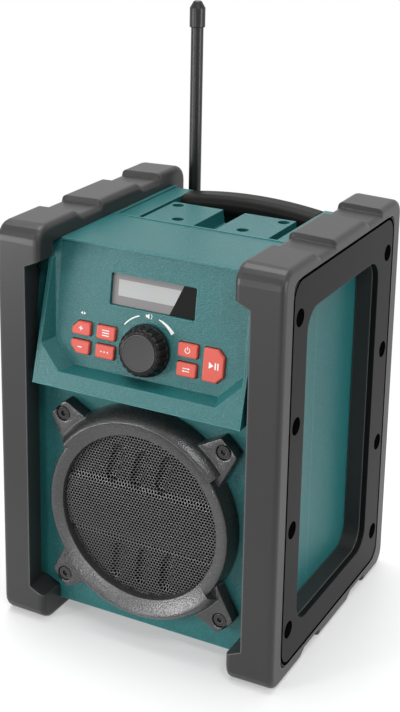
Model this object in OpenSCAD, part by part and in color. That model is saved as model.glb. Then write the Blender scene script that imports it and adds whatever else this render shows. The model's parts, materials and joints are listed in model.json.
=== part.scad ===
/* [Overall] */
// Width across both side cages
width_w = 204; // [196:1:216]
// Depth of the side cages
depth_d = 196; // [190:1:206]
// Height of the side cages
height_h = 282; // [274:1:292]

/* [Side cages] */
// Width of the front and rear lips, seen from the front
lip_w = 22; // [19:0.5:25]
// Width of the four corner pads, seen from the front
pad_w = 33; // [29:0.5:37]
// Height of the top corner pads
top_pad_h = 22; // [19:0.5:26]
// Height of the bottom corner pads
low_pad_h = 20; // [17:0.5:24]
// Height over which a pad slopes back to the lip
pad_slant = 5; // [3:0.5:8]
// Thickness of the cage's side web
web_t = 15.7; // [13:0.1:18]
// Depth of the front lip, from its face to the speaker face
lip_d = 20.7; // [18:0.1:24]
// Depth of the rear lip, from its face to the rear cover
rear_lip_d = 19; // [17:0.5:22]
// Flare of the front lip's inner side
lip_flare = 4; // [1:0.5:5]
// Height of the steps between crests and valleys
crest_step = 3.7; // [2:0.1:5]
// Length of the front crest
front_crest_l = 46.5; // [40:0.5:52]
// Length of each valley
valley_l = 32; // [24:0.5:36]
// Length of the middle crest
mid_crest_l = 48.5; // [40:0.5:54]
// Length of the ramp that leads down into a valley
ramp_l = 7; // [3:0.5:10]
// Radius of the cage's corners, seen from the side
corner_r = 12; // [8:0.5:16]
// Radius between the cage's rim and its outer side
edge_r = 3.6; // [2:0.1:5]
// Radius of the pads' free corners
pad_r = 4; // [2:0.5:6]

/* [Side plates] */
// Thickness of the side plates
plate_t = 4; // [3:0.1:5]
// Width of the cage's rim in front of and behind the plate
rim_y = 15; // [14:0.1:18]
// Height of the cage's rim above and below the plate
rim_z = 10.7; // [9.5:0.1:13]
// Width of the dark groove around the plate
groove_w = 0.9; // [0.5:0.1:1.5]
// Width of the plate's frame in front of the window
frame_front = 21.5; // [19:0.5:25]
// Width of the plate's frame behind the window
frame_rear = 25.5; // [22:0.5:28]
// Height of the plate's frame above the window
frame_top = 24; // [20:0.5:28]
// Height of the plate's frame below the window
frame_low = 20.5; // [18:0.5:25]
// Radius of the window's corners
window_r = 15; // [10:0.5:20]
// Distance of the plate screws from the plate's front and rear edges
screw_edge = 9.5; // [8:0.5:11]
// Distance of the end screws from the plate's top and bottom edges
screw_end = 24.3; // [16:0.5:30]
// Number of screws along each edge of a plate
screw_rows = 4; // [3:1:5]
// Diameter of the plate screws' counterbores
bore_d = 8; // [7.6:0.1:9]
// Diameter of the screws' shanks
shank_d = 3.4; // [3:0.1:3.8]

/* [Housing] */
// Wall of the housing shells
wall_t = 3; // [2.4:0.1:4]
// Height of the housing's belly above the ground
belly_z = 10; // [7:0.5:14]
// Distance from the cages' top down to the roof
roof_drop = 12.2; // [11:0.1:14]
// Distance from the speaker face back to the parting line
seam_d = 68.5; // [60:0.5:72]
// Distance from the roof down to the rear deck
deck_drop = 11.8; // [9:0.1:14]
// Depth of the finger well below the deck
well_depth = 30; // [24:1:36]
// Gap between fixed parts that lie in each other
fit_gap = 0.3; // [0.2:0.05:0.5]

/* [Deck] */
// Width of each raised deck pad
deck_pad_w = 40.5; // [34:0.5:42]
// Distance from the pads' rear ends to the grip
pad_back = 16.8; // [14:0.1:20]
// Width of the trench between the two pads
trench_w = 15; // [12:0.5:20]
// Height of the pads above the deck
deck_pad_h = 11.2; // [8:0.1:13]
// Depth of the shelves beside the pads below the roof
shelf_drop = 1.6; // [1:0.1:2.4]
// Width of the rails along the deck's sides
rail_w = 2.5; // [2:0.1:4]

/* [Console] */
// Distance from the cages' lips to the sides of the leaning console
console_in = 4.5; // [3:0.1:7]
// Height of the console
console_h = 93.3; // [91.8:0.1:95.6]
// Reach of the console's lower edge in front of the speaker face
console_reach = 20.2; // [16:0.1:20.4]
// Lean of the recessed control panel in degrees
panel_lean = 7.9; // [6:0.1:9]
// Distance from the roof down to the volume knob's axis
knob_drop = 62.2; // [60.8:0.1:63.8]
// Depth of the control panel in front of the speaker face at the knob
panel_y = 2.1; // [1.5:0.1:3]
// Thickness of the control panel
panel_t = 3; // [2.5:0.1:3.5]
// Width of the console's side rims
side_rim = 2.6; // [2:0.1:4]
// Height of the console's lower rim
low_rim = 10.6; // [9:0.1:12]
// Size of the recess's cut lower corners
recess_cut = 16; // [10:0.5:20]
// Slope width of the recess's side walls
recess_bevel = 4.6; // [2:0.1:6]

/* [Controls] */
// Width of a small key
key_w = 13.8; // [13:0.1:15]
// Height of a small key
key_h = 8.9; // [8.5:0.1:10]
// Distance between the two rows of keys
key_pitch = 12.5; // [12:0.1:13.5]
// Shift of the keys below the knob's axis
key_low = 0.3; // [0:0.1:1]
// Distance of the inner keys from the knob's axis
inner_key_x = 29.8; // [27:0.1:31]
// Distance of the outer keys from the knob's axis
outer_key_x = 48.3; // [46.5:0.1:50]
// Height of the keys above the panel
key_proud = 2.2; // [1.4:0.1:2.8]
// Travel of a key
key_travel = 1; // [0.6:0.1:1.2]
// Gap around a key
key_gap = 0.5; // [0.3:0.05:0.6]
// Diameter of the volume knob's base
knob_d = 34; // [28:0.5:36]
// Diameter of the volume knob's face
knob_face_d = 27; // [22:0.5:29]
// Height of the volume knob
knob_h = 11.5; // [9:0.5:14]
// Number of flutes around the knob
knob_flutes = 12; // [8:1:18]
// Diameter of the encoder's shaft
shaft_d = 6; // [5:0.1:6.4]
// Width of the display window
lcd_w = 61.7; // [56:0.1:66]
// Height of the display window
lcd_h = 21.1; // [20:0.1:24]
// Distance of the display's centre to the right of the knob's axis
lcd_x = 1.1; // [0:0.1:2]
// Height of the display's centre above the knob's axis, along the panel
lcd_v = 35.2; // [33:0.1:37]
// Depth of the display's lens below the panel
lens_sink = 2.4; // [1:0.1:2.6]

/* [Speaker] */
// Height of the speaker's axis above the middle between belly and console
speaker_rise = 1.2; // [0:0.1:3]
// Distance from the ring's edge to the cages' lips
ring_side = 9.5; // [8:0.5:14]
// Distance from the ring's edge to the belly and the console
ring_end = 12.5; // [11:0.5:16]
// Width of the ring's flat face
ring_face = 9.5; // [8:0.5:11]
// Width of the ring's inner bevel
bevel_w = 5.5; // [4:0.5:7]
// Width by which the ring's side sectors are narrower
side_in = 4.5; // [3:0.5:6]
// Spread of the ring's foot beyond its face
root_flare = 4; // [1:0.5:5]
// Distance of the ring's screws beyond its edge, across and up
lug_out = 9.25; // [8:0.05:11]
// Height of the ring above the speaker face
ring_h = 17.2; // [15:0.1:18]
// Drop of the side sectors below the ring's face
side_drop = 2.5; // [1:0.1:4]
// Half angle of the side sectors in degrees
side_angle = 37; // [30:1:39]
// Height of the screw lugs above the speaker face
lug_h = 9.3; // [8:0.1:11]
// Height of the grille's outer field above the speaker face
mesh_h = 7.4; // [6:0.1:9]
// Height by which the grille's middle band is pressed forward
press_h = 2.2; // [1:0.1:3]
// Thickness of the grille sheet
mesh_t = 1; // [0.8:0.1:1.4]
// Half height of the grille's pressed band
band_hz = 19; // [16:0.5:22]
// Distance between the grille's holes
hole_pitch = 5.4; // [5:0.1:7]
// Diameter of the grille's holes
hole_d = 2.8; // [2:0.1:3.4]
// Distance between the pressed capsules
capsule_pitch = 18.2; // [16:0.1:20]
// Width of a pressed capsule
capsule_w = 8.4; // [6:0.1:10]

/* [Handle] */
// Half length of the handle grip
grip_hl = 52; // [48:0.5:54]
// Depth of the grip, front to back
grip_d = 22; // [18:0.5:26]
// Height of the grip's section
grip_h = 15.5; // [14:0.5:18]
// Rise of the grip from its ends to its middle
grip_rise = 4.2; // [2:0.1:6]
// Diameter of the steel rod in the grip
rod_d = 7; // [6:0.5:8]
// Distance from the rear cover forward to the rod
rod_back = 9; // [8:0.5:12]

/* [Antenna] */
// Length of the antenna above its fold pivot
antenna_l = 160; // [130:1:180]
// Diameter of the antenna rod
antenna_d = 9; // [7:0.1:10]
// Diameter of the antenna's tip
tip_d = 11.3; // [10:0.1:12]
// Length of the antenna's tip
tip_l = 19; // [14:0.5:24]
// Distance from the housing's neck side in to the antenna
antenna_in = 11.2; // [9:0.1:14]
// Distance of the antenna behind the rear cover
antenna_back = 12; // [11:0.5:12.5]
// Distance from the roof down to the antenna's fold pivot
pivot_drop = 24.8; // [21.8:0.1:31.8]

/* [Rear] */
// Diameter of a battery cell
cell_d = 33; // [32.3:0.1:34.2]
// Length of a battery cell
cell_l = 60; // [57:0.5:61.5]
// Height of the battery bay's floor
bay_z = 24; // [20:0.5:28]
// Thickness of the battery door
door_t = 3; // [2.5:0.1:3.5]
// Diameter of the battery door's hinge pins
pin_d = 4; // [3.5:0.1:4.4]
// Running clearance of pins and shafts, on the radius
run_gap = 0.05; // [0.03:0.01:0.09]
// Height of the socket row
socket_z = 150; // [138:1:165]

/* [Hidden] */

$fn = 64;
eps = 0.01;
charcoal = [0.20, 0.20, 0.205];
graphite = [0.13, 0.13, 0.135];
teal = [0.25, 0.47, 0.45];
coral = [0.93, 0.36, 0.29];
steel = [0.72, 0.72, 0.74];
board_green = [0.10, 0.35, 0.20];

// Main planes
hw = width_w / 2;
hd = depth_d / 2;
lip_x = hw - lip_w;
pad_x = hw - pad_w;
web_x = hw - web_t;
body_hw = web_x - fit_gap;
neck_hw = pad_x - fit_gap;
front_y = -hd + lip_d;
rear_y = hd - rear_lip_d;
seam_y = front_y + seam_d;
roof_z = height_h - roof_drop;
deck_z = roof_z - deck_drop;
well_z = deck_z - well_depth;
console_hw = lip_x - console_in;
console_z = roof_z - console_h;
knob_z = roof_z - knob_drop;
pivot_z = roof_z - pivot_drop;
antenna_x = neck_hw - antenna_in;
// Longer than any wall that a cut goes through
deep = 30;

// 2D outline (y, z) extruded along x between two planes
module along_x(x0, x1) {
  translate([x0, 0, 0]) rotate([90, 0, 90]) linear_extrude(x1 - x0) children();
}

// 2D outline (x, z) extruded along y between two planes
module along_y(y0, y1) {
  translate([0, y1, 0]) rotate([90, 0, 0]) linear_extrude(y1 - y0) children();
}

// Cylinder along y between two planes
module rod_y(x, z, y0, y1, r) {
  translate([x, y1, z]) rotate([90, 0, 0]) cylinder(h = y1 - y0, r = r);
}

// Cylinder along x between two planes
module rod_x(y, z, x0, x1, r) {
  translate([x0, y, z]) rotate([0, 90, 0]) cylinder(h = x1 - x0, r = r);
}

// Rectangle with round corners between two opposite corners
module rounded(a, b, r) {
  translate([a[0] + r, a[1]]) square([b[0] - a[0] - 2 * r, b[1] - a[1]]);
  translate([a[0], a[1] + r]) square([b[0] - a[0], b[1] - a[1] - 2 * r]);
  for (u = [a[0] + r, b[0] - r], v = [a[1] + r, b[1] - r]) translate([u, v]) circle(r);
}

function arc(cy, cz, ry, rz, a0, a1, n = 5) =
  [for (i = [0:n]) let (a = a0 + (a1 - a0) * i / n) [cy + ry * cos(a), cz + rz * sin(a)]];

// Side outline of a cage, shrunk by k: round corners, stepped top and bottom.
// The feet keep their height until the outer edge is rounded.
rim_draft = 0.8;
step_l = 1.6;
valley_a = -hd + front_crest_l;
crest_b = valley_a + valley_l;
valley_b = crest_b + mid_crest_l;
crest_c = valley_b + valley_l;
function steps(zc, zv) = [
  [valley_a, zc], [valley_a + ramp_l, zv], [crest_b - step_l, zv], [crest_b, zc],
  [valley_b, zc], [valley_b + ramp_l, zv], [crest_c - step_l, zv], [crest_c, zc]];
function reversed(p) = [for (i = [len(p) - 1:-1:0]) p[i]];
function cage_outline(k) =
  let (r = corner_r - k, foot = max(0, k - rim_draft), low_r = corner_r - foot,
       y0 = -hd + corner_r, y1 = hd - corner_r, z1 = height_h - corner_r)
  concat(
    arc(y0, corner_r, r, low_r, 180, 270), steps(foot, crest_step + foot),
    arc(y1, corner_r, r, low_r, 270, 360), arc(y1, z1, r, r, 0, 90),
    reversed(steps(height_h - k, height_h - crest_step - k)), arc(y0, z1, r, r, 90, 180));

// Skin of a cage: the outline lofted outwards, its inner and outer edges rounded.
// The end rings lie past the flat faces, which are cut afterwards.
edge_steps = 4;
past = 0.5;
function bend_a(i) = 90 * i / edge_steps;
function pad_ring(i) = [pad_x + pad_r * (1 - cos(bend_a(i))), pad_r * (1 - sin(bend_a(i)))];
function edge_ring(i) =
  [hw - edge_r + edge_r * sin(bend_a(i)), rim_draft + edge_r * (1 - cos(bend_a(i)))];
skin_rings = concat(
  [pad_ring(0) + past * (pad_ring(0) - pad_ring(1))],
  [for (i = [1:edge_steps]) pad_ring(i)],
  [for (i = [0:edge_steps - 1]) edge_ring(i)],
  [edge_ring(edge_steps) + past * (edge_ring(edge_steps) - edge_ring(edge_steps - 1))]);

module loft_x(rings) {
  n = len(cage_outline(0));
  m = len(rings);
  points = [for (ring = rings) for (p = cage_outline(ring[1])) [ring[0], p[0], p[1]]];
  sides = [for (j = [0:m - 2]) for (i = [0:n - 1])
    let (a = j * n + i, b = j * n + (i + 1) % n) [a, a + n, b + n, b]];
  caps = [[for (i = [0:n - 1]) i], [for (i = [n - 1:-1:0]) (m - 1) * n + i]];
  polyhedron(points = points, faces = concat(sides, caps), convexity = 6);
}

// Front outline (x, z) of the housing, grown by k
shoulder_z = height_h - top_pad_h;
hip_z = low_pad_h;
function half_outline(k) = [
  [neck_hw + k, belly_z - k], [neck_hw + k, hip_z + fit_gap - k],
  [lip_x + k, hip_z + pad_slant + fit_gap - k], [body_hw + k, hip_z + pad_slant + fit_gap - k],
  [body_hw + k, shoulder_z - pad_slant - fit_gap + k],
  [lip_x + k, shoulder_z - pad_slant - fit_gap + k],
  [neck_hw + k, shoulder_z - fit_gap + k], [neck_hw + k, roof_z + k]];
module housing_outline(k) {
  right = half_outline(k);
  polygon(concat(right, [for (p = reversed(right)) [-p[0], p[1]]]));
}

// ---- Side cages ----

plate_a = [-hd + rim_y, rim_z];
plate_b = [hd - rim_y, height_h - rim_z];
window_a = [plate_a[0] + frame_front, plate_a[1] + frame_low];
window_b = [plate_b[0] - frame_rear, plate_b[1] - frame_top];
plate_r = 6;
screw_l = 13;
relief_d = 5.5;
relief_gap = 0.8;
pilot_r = shank_d / 2 + run_gap;

// Places of the plate screws in the side plane
module at_plate_screws() {
  rise = (plate_b[1] - plate_a[1] - 2 * screw_end) / (screw_rows - 1);
  for (y = [plate_a[0] + screw_edge, plate_b[0] - screw_edge], i = [0:screw_rows - 1])
    translate([0, y, plate_a[1] + screw_end + i * rise]) children();
}

// Opening between the lips and pads of the right cage, seen from the front
module throat_outline() {
  lean = pad_slant / (lip_x - pad_x);
  over = 2;
  polygon([
    [pad_x - over, hip_z - over * lean], [lip_x, hip_z + pad_slant],
    [lip_x, shoulder_z - pad_slant], [pad_x - over, shoulder_z + over * lean]]);
}

module right_cage_solid() {
  difference() {
    intersection() {
      loft_x(skin_rings);
      along_x(pad_x, hw) translate([-hd - 1, -1]) square([depth_d + 2, height_h + 2]);
    }
    along_y(-hd - 1, hd + 1) throat_outline();
    // flared inner side of the front lip
    translate([0, 0, hip_z + pad_slant]) linear_extrude(shoulder_z - hip_z - 2 * pad_slant)
      polygon([[lip_x - 1, -hd - 1], [lip_x, -hd], [lip_x + lip_flare, front_y], [lip_x - 1, front_y]]);
    // relief for the console's shoulder behind the front pad
    along_y(rim_at(shoulder_z - pad_slant) - relief_d, back_at(roof_under) + relief_gap) polygon([
      [pad_x - 1, brow_z(pad_x - 1) + fit_gap], [console_hw + fit_gap, brow_z(console_hw) + fit_gap],
      [console_hw + fit_gap, shoulder_z - pad_slant - 1], [pad_x - 1, shoulder_z - pad_slant - 1]]);
    // seat of the housing
    along_y(front_y - fit_gap, rear_y + fit_gap) translate([lip_x - 1, hip_z + pad_slant])
      square([web_x - lip_x + 1, shoulder_z - hip_z - 2 * pad_slant]);
    // seat of the side plate and the window
    along_x(hw - plate_t, hw + 1)
      rounded([plate_a[0] - groove_w, plate_a[1] - groove_w],
              [plate_b[0] + groove_w, plate_b[1] + groove_w], plate_r + groove_w);
    along_x(web_x - 1, hw) rounded(window_a, window_b, window_r);
    at_plate_screws() rod_x(0, 0, hw - plate_t - screw_l, hw, pilot_r);
    // blind seat of the handle rod
    rod_x(rod_y0, rod_z0, pad_x - 1, rod_end + fit_gap, rod_d / 2 + run_gap);
  }
}

module right_cage() { color(charcoal) right_cage_solid(); }
module left_cage() { color(charcoal) mirror([1, 0, 0]) right_cage_solid(); }

head_h = 2.2;
head_d = 7.2;
bearing_t = 1.4;
module side_plate_solid() {
  difference() {
    along_x(hw - plate_t, hw) difference() {
      rounded(plate_a, plate_b, plate_r);
      rounded(window_a, window_b, window_r);
    }
    at_plate_screws() {
      rod_x(0, 0, hw - plate_t + bearing_t, hw + 1, bore_d / 2);
      rod_x(0, 0, hw - plate_t - 1, hw, pilot_r);
    }
  }
}

module right_side_plate() { color(charcoal) side_plate_solid(); }
module left_side_plate() { color(charcoal) mirror([1, 0, 0]) side_plate_solid(); }

// Screw with its head's bearing face at the origin, shank towards -x, cross recess in the head
module screw_x(l) {
  difference() {
    union() {
      rod_x(0, 0, 0, head_h, head_d / 2);
      rod_x(0, 0, -l, eps, shank_d / 2);
    }
    for (a = [0, 90]) rotate([a, 0, 0])
      translate([head_h - 1.2, -2, -0.45]) cube([2, 4, 0.9]);
  }
}
module plate_screws_solid() {
  at_plate_screws() translate([hw - plate_t + bearing_t, 0, 0]) screw_x(screw_l);
}
module right_plate_screws() { color(steel) plate_screws_solid(); }
module left_plate_screws() { color(steel) mirror([1, 0, 0]) plate_screws_solid(); }

// ---- Control panel frame: x to the right, y up the panel, z out of it ----

knob_y = front_y - panel_y;
module on_panel(x = 0, v = 0, w = 0) {
  translate([0, knob_y, knob_z]) rotate([90 - panel_lean, 0, 0]) translate([x, v, w]) children();
}
// Depth of the panel's front at a height, and of its back
function panel_at(z) = knob_y + (z - knob_z) * tan(panel_lean);
function back_at(z) = panel_at(z) + panel_t / cos(panel_lean);

// Front plane of the console's rim
rim_top_y = panel_at(roof_z) - 1.2;
rim_low_y = front_y - console_reach;
function rim_at(z) = rim_low_y + (rim_top_y - rim_low_y) * (z - console_z) / (roof_z - console_z);
// The console's shoulders end beside the roof at this slanted line
brow_slope = 0.48;
brow_in = 0.6;
function brow_z(x) = roof_z - brow_slope * (x - neck_hw + brow_in);

// ---- Housing ----

seat_t = 2.6;
lip_t = 2;
roof_groove = 0.7;
roof_under = roof_z - wall_t;
// Height at which the leaning back meets the speaker face
back_z = min(max(knob_z + (panel_y - panel_t / cos(panel_lean)) / tan(panel_lean), console_z + 2),
             roof_under - 20);
// Everything in front of the console's back, with a small gap
module console_room(gap) {
  along_x(-hw, hw) polygon([
    [-hd, console_z - gap], [front_y, console_z - gap], [front_y, back_z],
    [back_at(roof_under) + gap, roof_under], [rim_top_y + lip_t + roof_groove, roof_under],
    [rim_top_y + lip_t + roof_groove, roof_z + 5], [-hd, roof_z + 5]]);
}

speaker_z = (belly_z + console_z) / 2 + speaker_rise;
ring_r = min(lip_x - ring_side, (console_z - belly_z) / 2 - ring_end);
side_r = ring_r - side_in;
face_r = ring_r - ring_face;
mesh_r = face_r - bevel_w;
lug_x = ring_r * cos(45) + lug_out;
speaker_hole_r = mesh_r - 3.5;
module at_ring_screws() {
  for (x = [-lug_x, lug_x], z = [speaker_z - lug_x, speaker_z + lug_x]) translate([x, 0, z]) children();
}

// Opening behind the console; its controls shrink with it below the width they are drawn for
aperture_in = 3.7;
aperture_hw = neck_hw - wall_t - aperture_in;
drawn_hw = 62;
panel_s = min(1, aperture_hw / drawn_hw);
aperture_low = 16;
aperture_top = 52;
module front_housing() {
  color(teal) difference() {
    union() {
      difference() {
        along_y(front_y, seam_y) housing_outline(0);
        along_y(front_y + wall_t, seam_y + 1) housing_outline(-wall_t);
        console_room(fit_gap);
      }
      // leaning seat behind the console
      intersection() {
        along_y(front_y, seam_y) housing_outline(0);
        along_x(-hw, hw) polygon([
          [front_y, back_z - 3], [front_y, back_z],
          [back_at(roof_under) + fit_gap, roof_under],
          [back_at(roof_under) + fit_gap + seat_t, roof_under], [front_y + wall_t, back_z - 3]]);
      }
    }
    on_panel() translate([-aperture_hw, -aperture_low, -deep])
      cube([2 * aperture_hw, aperture_low + aperture_top, 2 * deep]);
    rod_y(0, speaker_z, front_y - 1, front_y + wall_t + 1, speaker_hole_r);
    at_ring_screws() rod_y(0, 0, front_y - 1, front_y + wall_t + 1, pilot_r);
  }
}

// Battery bay: an open box in the rear cover, cells in two rows of two
bay_hw = cell_l + 3.5;
bay_h = 2 * cell_d + 3.5;
bay_d = cell_d + 1.2;
bay_t = 2;
bay_y = rear_y - door_t - bay_d;
door_hw = bay_hw + 2.5;
door_low = bay_z - 2.5;
door_top = bay_z + bay_h + 2.5;
door_gap = 0.5;
pin_y = rear_y + 2.2;
pin_z = door_low - pin_d / 2 - 1.4;
knuckle_r = pin_d / 2 + 1.3;
knuckle_x = 46;
knuckle_w = 10;

riser_t = 1.8;
riser_lip = 0.5;
deck_edge_y = seam_y + riser_t;
pad_y0 = deck_edge_y + 2.2;
rod_y0 = rear_y - rod_back;
deck_pad_l = rod_y0 - grip_d / 2 - pad_back - pad_y0;
well_y = pad_y0 + deck_pad_l + 4;
shoulder_x = grip_hl + fit_gap;
shelf_z = roof_z - shelf_drop;
rod_end = hw - 14;
grip_top = roof_z + 3;
grip_gap = 1;
grip_r = (grip_hl * grip_hl + grip_rise * grip_rise) / (2 * grip_rise);
rod_z0 = grip_top - (grip_h + grip_rise) / 2;

module rear_screw_places() {
  for (x = [-body_hw + 10, body_hw - 10], z = [hip_z + pad_slant + 12, shoulder_z - pad_slant - 12])
    translate([x, 0, z]) children();
}

boss_r = 4.6;
board_rise = 22.5;
board_drop = 26;
board_z = bay_z + bay_h + bay_t + board_rise;
board_w = 110;
board_h = well_z - board_drop - board_z;
board_t = 1.6;
board_y = rear_y - wall_t - 12;
dc_x = 30;
aux_x = 46;
dc_r = 5.4;
aux_r = 4;
flap_pivot = 3.2;
flap_w = 38;
flap_h = 17;
flap_t = 2;
flap_x = (dc_x + aux_x) / 2;
recess_t = flap_t;

module board_bosses(y0, y1, r) {
  for (x = [-board_w / 2 + 5, board_w / 2 - 5], z = [board_z + 5, board_z + board_h - 5])
    rod_y(x, z, y0, y1, r);
}

module rear_housing() {
  color(teal) difference() {
    union() {
      difference() {
        along_y(seam_y, rear_y) housing_outline(0);
        along_y(seam_y - 1, rear_y - wall_t) housing_outline(-wall_t);
      }
      // riser that stands a little above the roof, shelves with the deck between them, finger well
      translate([-neck_hw + 1, seam_y, deck_z - wall_t])
        cube([2 * neck_hw - 2, riser_t, roof_z + riser_lip - deck_z + wall_t]);
      translate([-neck_hw + 1, deck_edge_y, deck_z - wall_t])
        cube([2 * neck_hw - 2, well_y - deck_edge_y, shelf_z - deck_z + wall_t]);
      translate([-neck_hw + 1, well_y - wall_t, well_z - wall_t])
        cube([2 * neck_hw - 2, rear_y - well_y + wall_t, shelf_z - well_z + wall_t]);
      // battery bay
      translate([-bay_hw - bay_t, bay_y - bay_t, bay_z - bay_t])
        cube([2 * (bay_hw + bay_t), bay_d + bay_t + 1, bay_h + 2 * bay_t]);
      // frame that the door lies in
      translate([-door_hw - bay_t, rear_y - door_t - bay_t, door_low - bay_t])
        cube([2 * (door_hw + bay_t), door_t + bay_t - 1, door_top - door_low + 2 * bay_t]);
      // hinge ears below the door
      for (s = [-1, 1]) rod_x(pin_y, pin_z, s * knuckle_x - knuckle_w / 2,
                              s * knuckle_x + knuckle_w / 2, knuckle_r);
      // bosses of the main board and of the housing screws
      board_bosses(board_y + board_t, rear_y - 1, boss_r);
      rear_screw_places() rod_y(0, 0, seam_y + 0.5, rear_y - 1, boss_r);
    }
    // shelves between the rails, hollow below
    translate([-neck_hw + rail_w, deck_edge_y, shelf_z])
      cube([2 * (neck_hw - rail_w), rear_y - deck_edge_y + 1, shelf_drop + 1]);
    for (s = [-1, 1]) translate([s > 0 ? shoulder_x + wall_t : -neck_hw + wall_t, deck_edge_y,
                                 deck_z - wall_t - 1])
      cube([neck_hw - shoulder_x - 2 * wall_t, well_y - wall_t - deck_edge_y,
            shelf_z - deck_z + 1]);
    // room above the deck, and the finger well in front of its rear wall
    translate([-shoulder_x, deck_edge_y, deck_z])
      cube([2 * shoulder_x, well_y - deck_edge_y + 1, deck_drop + 1]);
    translate([-shoulder_x, well_y, well_z])
      cube([2 * shoulder_x, rear_y - wall_t - well_y, roof_z - well_z + 1]);
    // curved top of the well's rear wall, just below the grip
    along_y(rear_y - wall_t - 1, rear_y + 1) difference() {
      translate([-shoulder_x, well_z]) square([2 * shoulder_x, roof_z - well_z + 1]);
      translate([0, grip_top - grip_r]) circle(grip_r - grip_h - grip_gap, $fn = 256);
    }
    // rod through the shoulders
    rod_x(rod_y0, rod_z0, -hw, hw, rod_d / 2 + run_gap);
    // bay and door seat
    translate([-bay_hw, bay_y, bay_z]) cube([2 * bay_hw, bay_d + door_t + 1, bay_h]);
    translate([-door_hw, rear_y - door_t, door_low])
      cube([2 * door_hw, door_t + 1, door_top - door_low]);
    // room for the door's knuckles beside each ear, and the ears' bores
    for (s = [-1, 1]) {
      rod_x(pin_y, pin_z, s * knuckle_x - knuckle_w / 2 - 1, s * knuckle_x + knuckle_w / 2 + 1,
            pin_d / 2 + run_gap);
      for (t = [-1, 1]) let (x = s * knuckle_x + t * (knuckle_w + door_gap))
        rod_x(pin_y, pin_z, x - knuckle_w / 2 - door_gap / 2, x + knuckle_w / 2 + door_gap / 2,
              knuckle_r + door_gap);
    }
    // sockets and the flap's shallow seat
    rod_y(dc_x, socket_z, rear_y - wall_t - 1, rear_y + 1, dc_r + fit_gap);
    rod_y(aux_x, socket_z, rear_y - wall_t - 1, rear_y + 1, aux_r + fit_gap);
    translate([flap_x - flap_w / 2 - door_gap, rear_y - recess_t, socket_z - flap_h / 2 - door_gap])
      cube([flap_w + 2 * door_gap, recess_t + 1, flap_h + 2 * door_gap + flap_pivot]);
    board_bosses(board_y + board_t - 1, rear_y - wall_t, 1.2);
    rear_screw_places() {
      rod_y(0, 0, seam_y - 1, rear_y + 1, pilot_r);
      rod_y(0, 0, rear_y - head_h - 0.6, rear_y + 1, bore_d / 2);
    }
    // screws of the deck and of the antenna base
    at_deck_screws() translate([0, 0, deck_z - wall_t - 1]) cylinder(h = wall_t + 2, r = pilot_r);
  }
}

// ---- Deck with two raised pads ----

deck_plate_t = 1.6;
pad_draft = 1;
deck_bore_d = 8.4;
deck_bore_h = 5;
pad_in = trench_w / 2;
pad_out = pad_in + deck_pad_w;
pad_top = deck_z + deck_pad_h;
rear_hole = [0.82, 0.84];
front_hole = [0.42, 0.2];

// Places of the deck's screws: two on a diagonal in each pad
module at_deck_screws() {
  for (s = [-1, 1], h = [rear_hole, front_hole])
    translate([s * (pad_in + h[0] * deck_pad_w), pad_y0 + h[1] * deck_pad_l, 0]) children();
}

module top_deck() {
  color(teal) difference() {
    union() {
      for (s = [-1, 1]) intersection() {
        along_y(pad_y0, pad_y0 + deck_pad_l) polygon([
          [s * pad_in, deck_z], [s * (pad_in + pad_draft), pad_top],
          [s * (pad_out - pad_draft), pad_top], [s * pad_out, deck_z]]);
        along_x(-pad_out, pad_out) polygon([
          [pad_y0, deck_z], [pad_y0 + pad_draft / 2, pad_top],
          [pad_y0 + deck_pad_l - pad_draft, pad_top], [pad_y0 + deck_pad_l, deck_z]]);
      }
      translate([-pad_in - 1, pad_y0 + 1, deck_z])
        cube([trench_w + 2, deck_pad_l - 2, deck_plate_t]);
    }
    at_deck_screws() {
      translate([0, 0, deck_z - 1]) cylinder(h = deck_pad_h + 2, r = pilot_r);
      translate([0, 0, pad_top - deck_bore_h]) cylinder(h = deck_bore_h + 1, r = deck_bore_d / 2);
    }
  }
}

module deck_screws() {
  color(steel) at_deck_screws() translate([0, 0, pad_top - deck_bore_h])
    rotate([0, -90, 0]) screw_x(deck_pad_h - deck_bore_h + wall_t);
}

rear_screw_l = 26;
module housing_screws() {
  color(steel) rear_screw_places() translate([0, rear_y - head_h - 0.6, 0])
    rotate([0, 0, 90]) screw_x(rear_screw_l);
}

// ---- Console ----

rim_lean = atan((rim_top_y - rim_low_y) / (roof_z - console_z));
rim_l = (roof_z - console_z) / cos(rim_lean);
module on_rim() {
  translate([0, rim_low_y, console_z]) rotate([90 - rim_lean, 0, 0]) children();
}
lip_hw = console_hw - side_rim;
floor_hw = lip_hw - recess_bevel;
top_edge = 1.3;
module cut_panel(half, low, high, cut) {
  polygon([[-half, high], [-half, low + cut], [-half + cut, low],
           [half - cut, low], [half, low + cut], [half, high]]);
}
// Recess: from the panel's floor out to the rim
module console_recess() {
  floor_low = (console_z + low_rim + 1 - knob_z) / cos(panel_lean);
  floor_high = (roof_z - top_edge - knob_z) / cos(panel_lean);
  hull() {
    on_panel() linear_extrude(eps) cut_panel(floor_hw, floor_low, floor_high, recess_cut);
    on_rim() linear_extrude(1) cut_panel(lip_hw, low_rim, rim_l - top_edge, recess_cut);
  }
}

// Outline of a key with cut corners: top left, top right, bottom right, bottom left
corner_cut = 1;
module key_outline(w, h, cuts) {
  a = w / 2;
  b = h / 2;
  polygon([[-a, b - cuts[0]], [-a + cuts[0], b], [a - cuts[1], b], [a, b - cuts[1]],
           [a, -b + cuts[2]], [a - cuts[2], -b], [-a + cuts[3], -b], [-a, -b + cuts[3]]]);
}
big_cut = 4.6;
cap_w = key_w * panel_s;
enter_w = cap_w + 0.6;
enter_h = key_pitch + key_h;
outer_x = outer_key_x * panel_s;
inner_x = inner_key_x * panel_s;
row_a = key_pitch / 2 - key_low;
row_b = -key_pitch / 2 - key_low;
square_cuts = corner_cut * [1, 1, 1, 1];
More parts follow.
